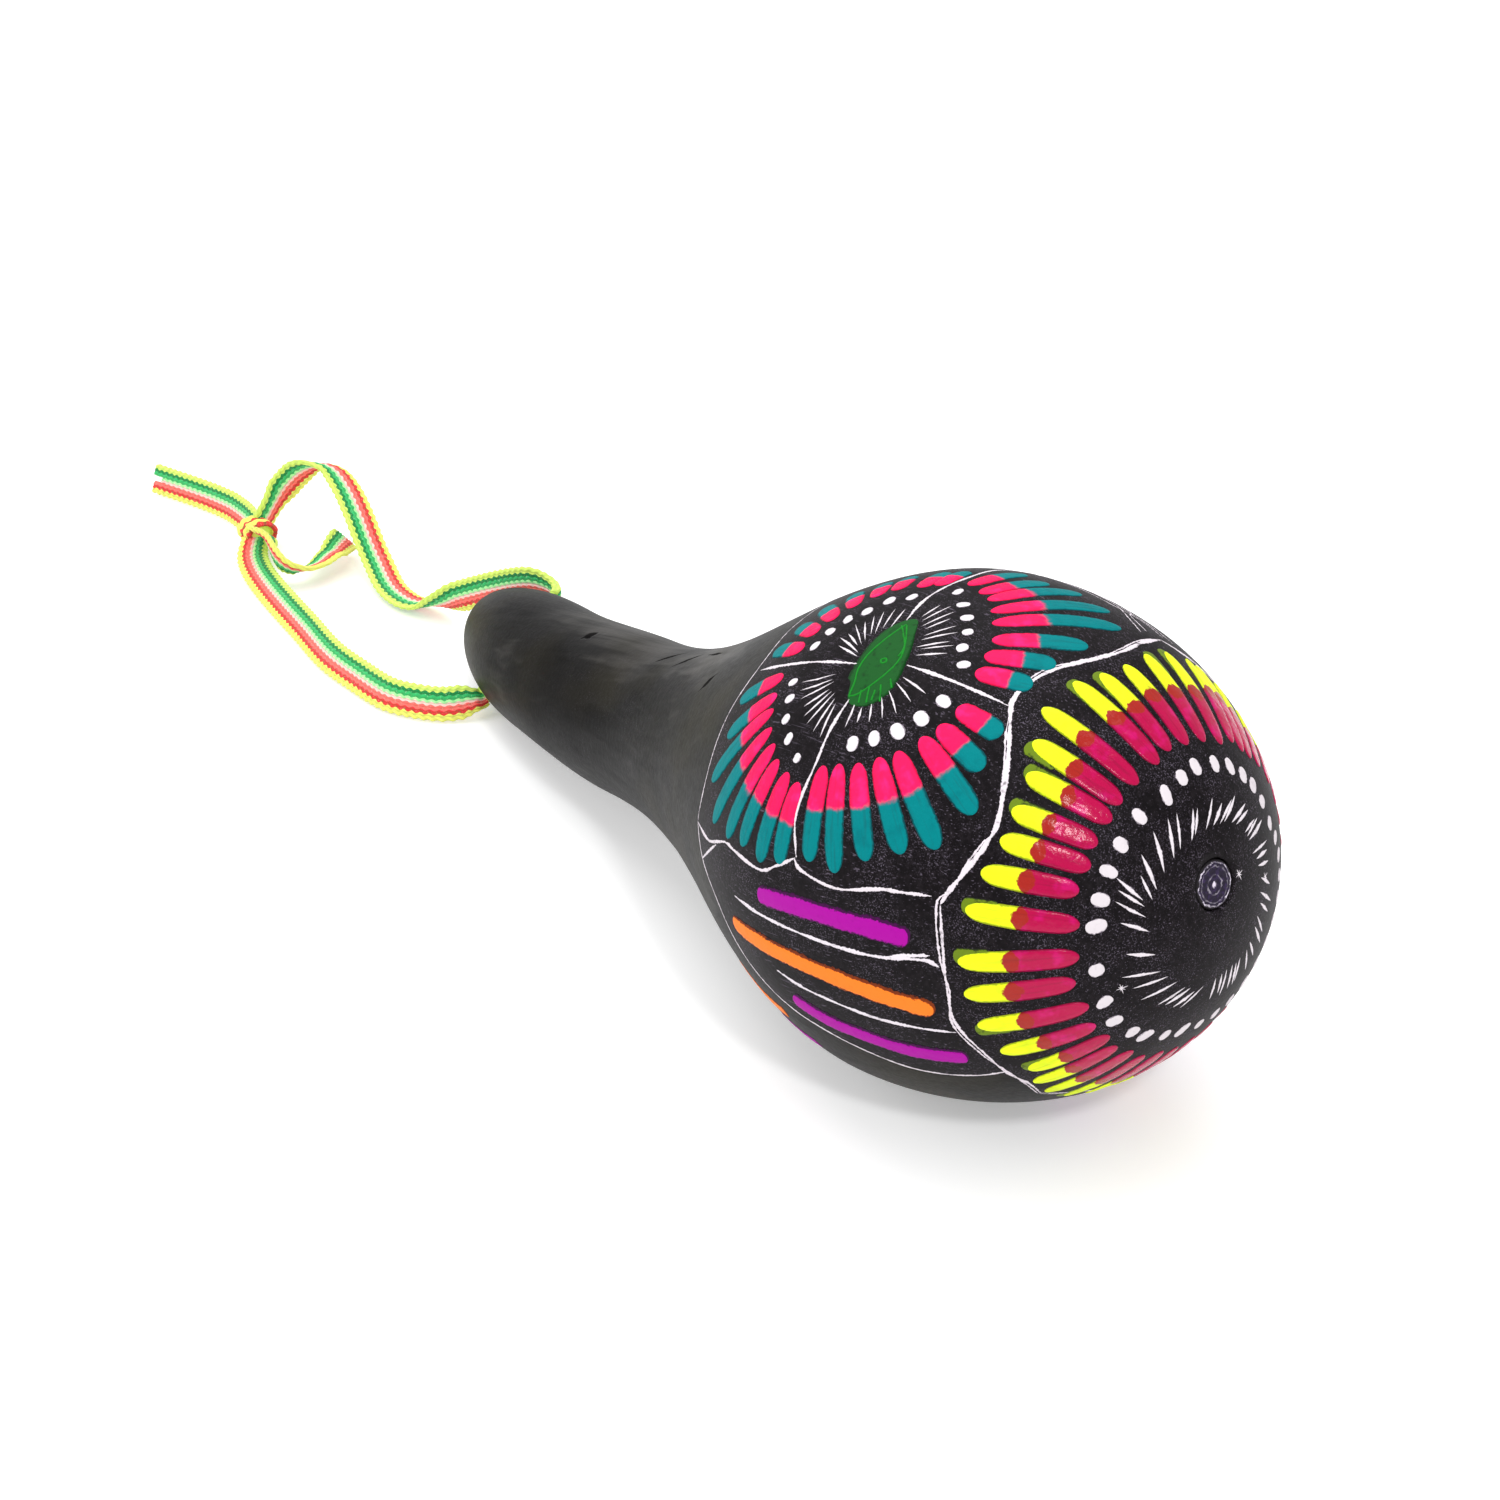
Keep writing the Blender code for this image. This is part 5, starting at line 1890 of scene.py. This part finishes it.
    def free_piece(self, stretch: BraidStretch) -> Object:
        """A stretch as an object; a frayed one ends in prongs."""
        weave = BraidWeave()
        rings = self.rings(stretch)
        end = rings[-1].distance
        whole = [ring for ring in rings if not stretch.frayed or ring.distance < end - self.fray_length]
        weave.loft(whole)
        for window, short in self.fray if stretch.frayed else ():
            weave.loft([ring for ring in rings[len(whole) - 1 :] if ring.distance <= end - short], window)
        return weave.piece(f"braid_{stretch.name}")

    def build(self) -> None:
        material = BraidFinish().material()
        knot = self.knot()
        neck = rod("braid_in_neck", *self.ends_in_neck(), self.gathered_radius, self.neck_facets)
        mount(knot, "neon_braid", "cord_knot", material=material)
        mount(neck, "neon_braid", "cord_in_neck", material=material)
        for stretch in self.stretches():
            node = f"cord_{stretch.name}"
            piece = mount(self.free_piece(stretch), "neon_braid", node, material=material)
            path = [point.to_3d() for point in stretch.points]
            length = sum((b - a).length for a, b in zip(path, path[1:]))
            LOG.info("%s is %.1f mm long", piece.name, length / MM)
            tuple(path[0])
            [tuple(place) for place in path]

    def knot(self) -> Object:
        """The knot that joins the strands and the tails: slanted wraps of the braid over a core."""
        weave = BraidWeave()
        middle = self.knot_middle()
        _, deep, tall = (radius * self.wrap_share for radius in self.knot_radii)
        along = Vector((1, 0, 0))
        steps = self.wrap_steps
        turns = [2 * math.pi * i / steps for i in range(steps)]
        for offset, slant, window in self.knot_wraps:
            places = []
            for turn in turns:
                sideways = offset + slant * math.cos(turn - self.wrap_phase)
                places.append(Vector((sideways, deep * math.cos(turn), tall * math.sin(turn))))
            rings = []
            for i, place in enumerate(places):
                travel = (places[(i + 1) % steps] - places[i - 1]).normalized()
                green = (along - travel * along.dot(travel)).normalized()
                centred = middle + place - green * self.wrap_half_width * (1 - sum(window))
                sizes = (self.wrap_half_width, self.thickness / 2, deep * turns[i])
                rings.append(BraidRing(centred, green, travel.cross(green), *sizes))
            weave.loft(rings, window, closed=True)
        knot = weave.piece("braid_knot")
        with edited(knot.data) as form:
            facets, rows = self.core_facets
            core = bmesh.ops.create_uvsphere(form, u_segments=facets, v_segments=rows, radius=1)["verts"]
            bmesh.ops.scale(form, vec=Vector(self.knot_radii) * self.knot_core, verts=core)
            bmesh.ops.translate(form, vec=middle, verts=core)
        return knot


@dataclass
class Studio:
    """The camera, a white floor and soft light from all round."""

    eye: Vector = Vector((337.18, -263.17, 261.61)) * MM
    back: Vector = Vector((0.69054, -0.54668, 0.47360))
    lens: float = 62.4
    sensor_width: float = 36.0
    clip_start: float = 0.01
    lit_point: Vector = Vector((0, 0, 0.03))
    floor_size: float = 12.0
    floor_glow: float = 0.31
    world_strength: float = 0.68
    lamps: tuple[tuple[str, Vector, float, float], ...] = (
        ("top_box", Vector((-0.3, 0.1, 1.1)), 1.3, 9.5),
        ("left_box", Vector((-0.5, -0.9, 0.7)), 0.7, 3.2),
        ("camera_lamp", Vector((0.45, -0.2, 0.42)), 0.05, 1.0),
    )

    def build(self) -> None:
        """Sets the stage."""
        self._camera()
        self._floor()
        self._light()
        bpy.context.scene.view_settings.view_transform = "Standard"

    def _camera(self) -> None:
        """Places the camera as the photographer stood."""
        camera = bpy.data.cameras.new("camera")
        camera.lens = self.lens
        camera.sensor_width = self.sensor_width
        camera.clip_start = self.clip_start
        obj = new_object("camera", camera)
        obj.matrix_world = aimed(self.eye, self.back)
        bpy.context.scene.camera = obj

    def _floor(self) -> None:
        """A wide white floor that keeps the object's shadow."""
        mesh = bpy.data.meshes.new("floor")
        with edited(mesh) as form:
            bmesh.ops.create_grid(form, x_segments=1, y_segments=1, size=self.floor_size / 2)
        floor = new_object("floor", mesh)
        g = MaterialGraph("white_floor")
        paper = g.node("ShaderNodeBsdfDiffuse", {}, {"Color": srgb(245, 245, 245)})["BSDF"]
        glow = g.node("ShaderNodeEmission", {}, {"Color": WHITE, "Strength": self.floor_glow})[0]
        rays = g.node("ShaderNodeLightPath")
        seen = rays["Is Camera Ray"].at_least(rays["Is Glossy Ray"])
        lit = g.node("ShaderNodeAddShader", {}, {0: paper, 1: glow})[0]
        shader = g.node("ShaderNodeMixShader", {}, {0: seen, 1: paper, 2: lit})[0]
        g.node("ShaderNodeOutputMaterial", {}, {"Surface": shader})
        floor.data.materials.append(g.material)

    def _light(self) -> None:
        """Soft boxes over a pale surround, and a small lamp by the camera for highlights on wet paint."""
        world = bpy.data.worlds.new("surround")
        world.use_nodes = True
        shade = world.node_tree.nodes["Background"]
        shade.inputs["Color"].default_value = WHITE
        shade.inputs["Strength"].default_value = self.world_strength
        bpy.context.scene.world = world
        for name, place, size, power in self.lamps:
            lamp = bpy.data.lights.new(name, "AREA")
            lamp.shape = "SQUARE"
            lamp.size = size
            lamp.energy = power
            obj = new_object(name, lamp)
            obj.matrix_world = aimed(place, place - self.lit_point)


def main() -> None:
    """Builds the maraca's looks in order."""
    logging.basicConfig(level=logging.INFO, format="%(name)s: %(message)s")
    joint = frame["joints"][0]
    gourd = GourdForm(Vector(joint["pos_m"]), Vector(joint["axis"]).normalized())
    Studio().build()
    braid = WristBraid(gourd)
    braid.build()
    borders = Borders(gourd)
    shell = GourdRind(gourd, borders)
    skin = shell.skin()
    painter = Painter(gourd, skin)
    BlossomRing(painter, BLOSSOM_POLE).build()
    for mirrored in (False, True):
        LeafFlower(painter, borders, FLOWER_POLE, mirrored).build()
        BarPanel(painter, borders, mirrored).build()
    PanelLines(painter, borders).build()
    shell.finish(skin, braid.ends_in_neck())
    BlossomPeg(shell).build()
    RattleSeeds().dress()


if __name__ == "__main__":
    main()
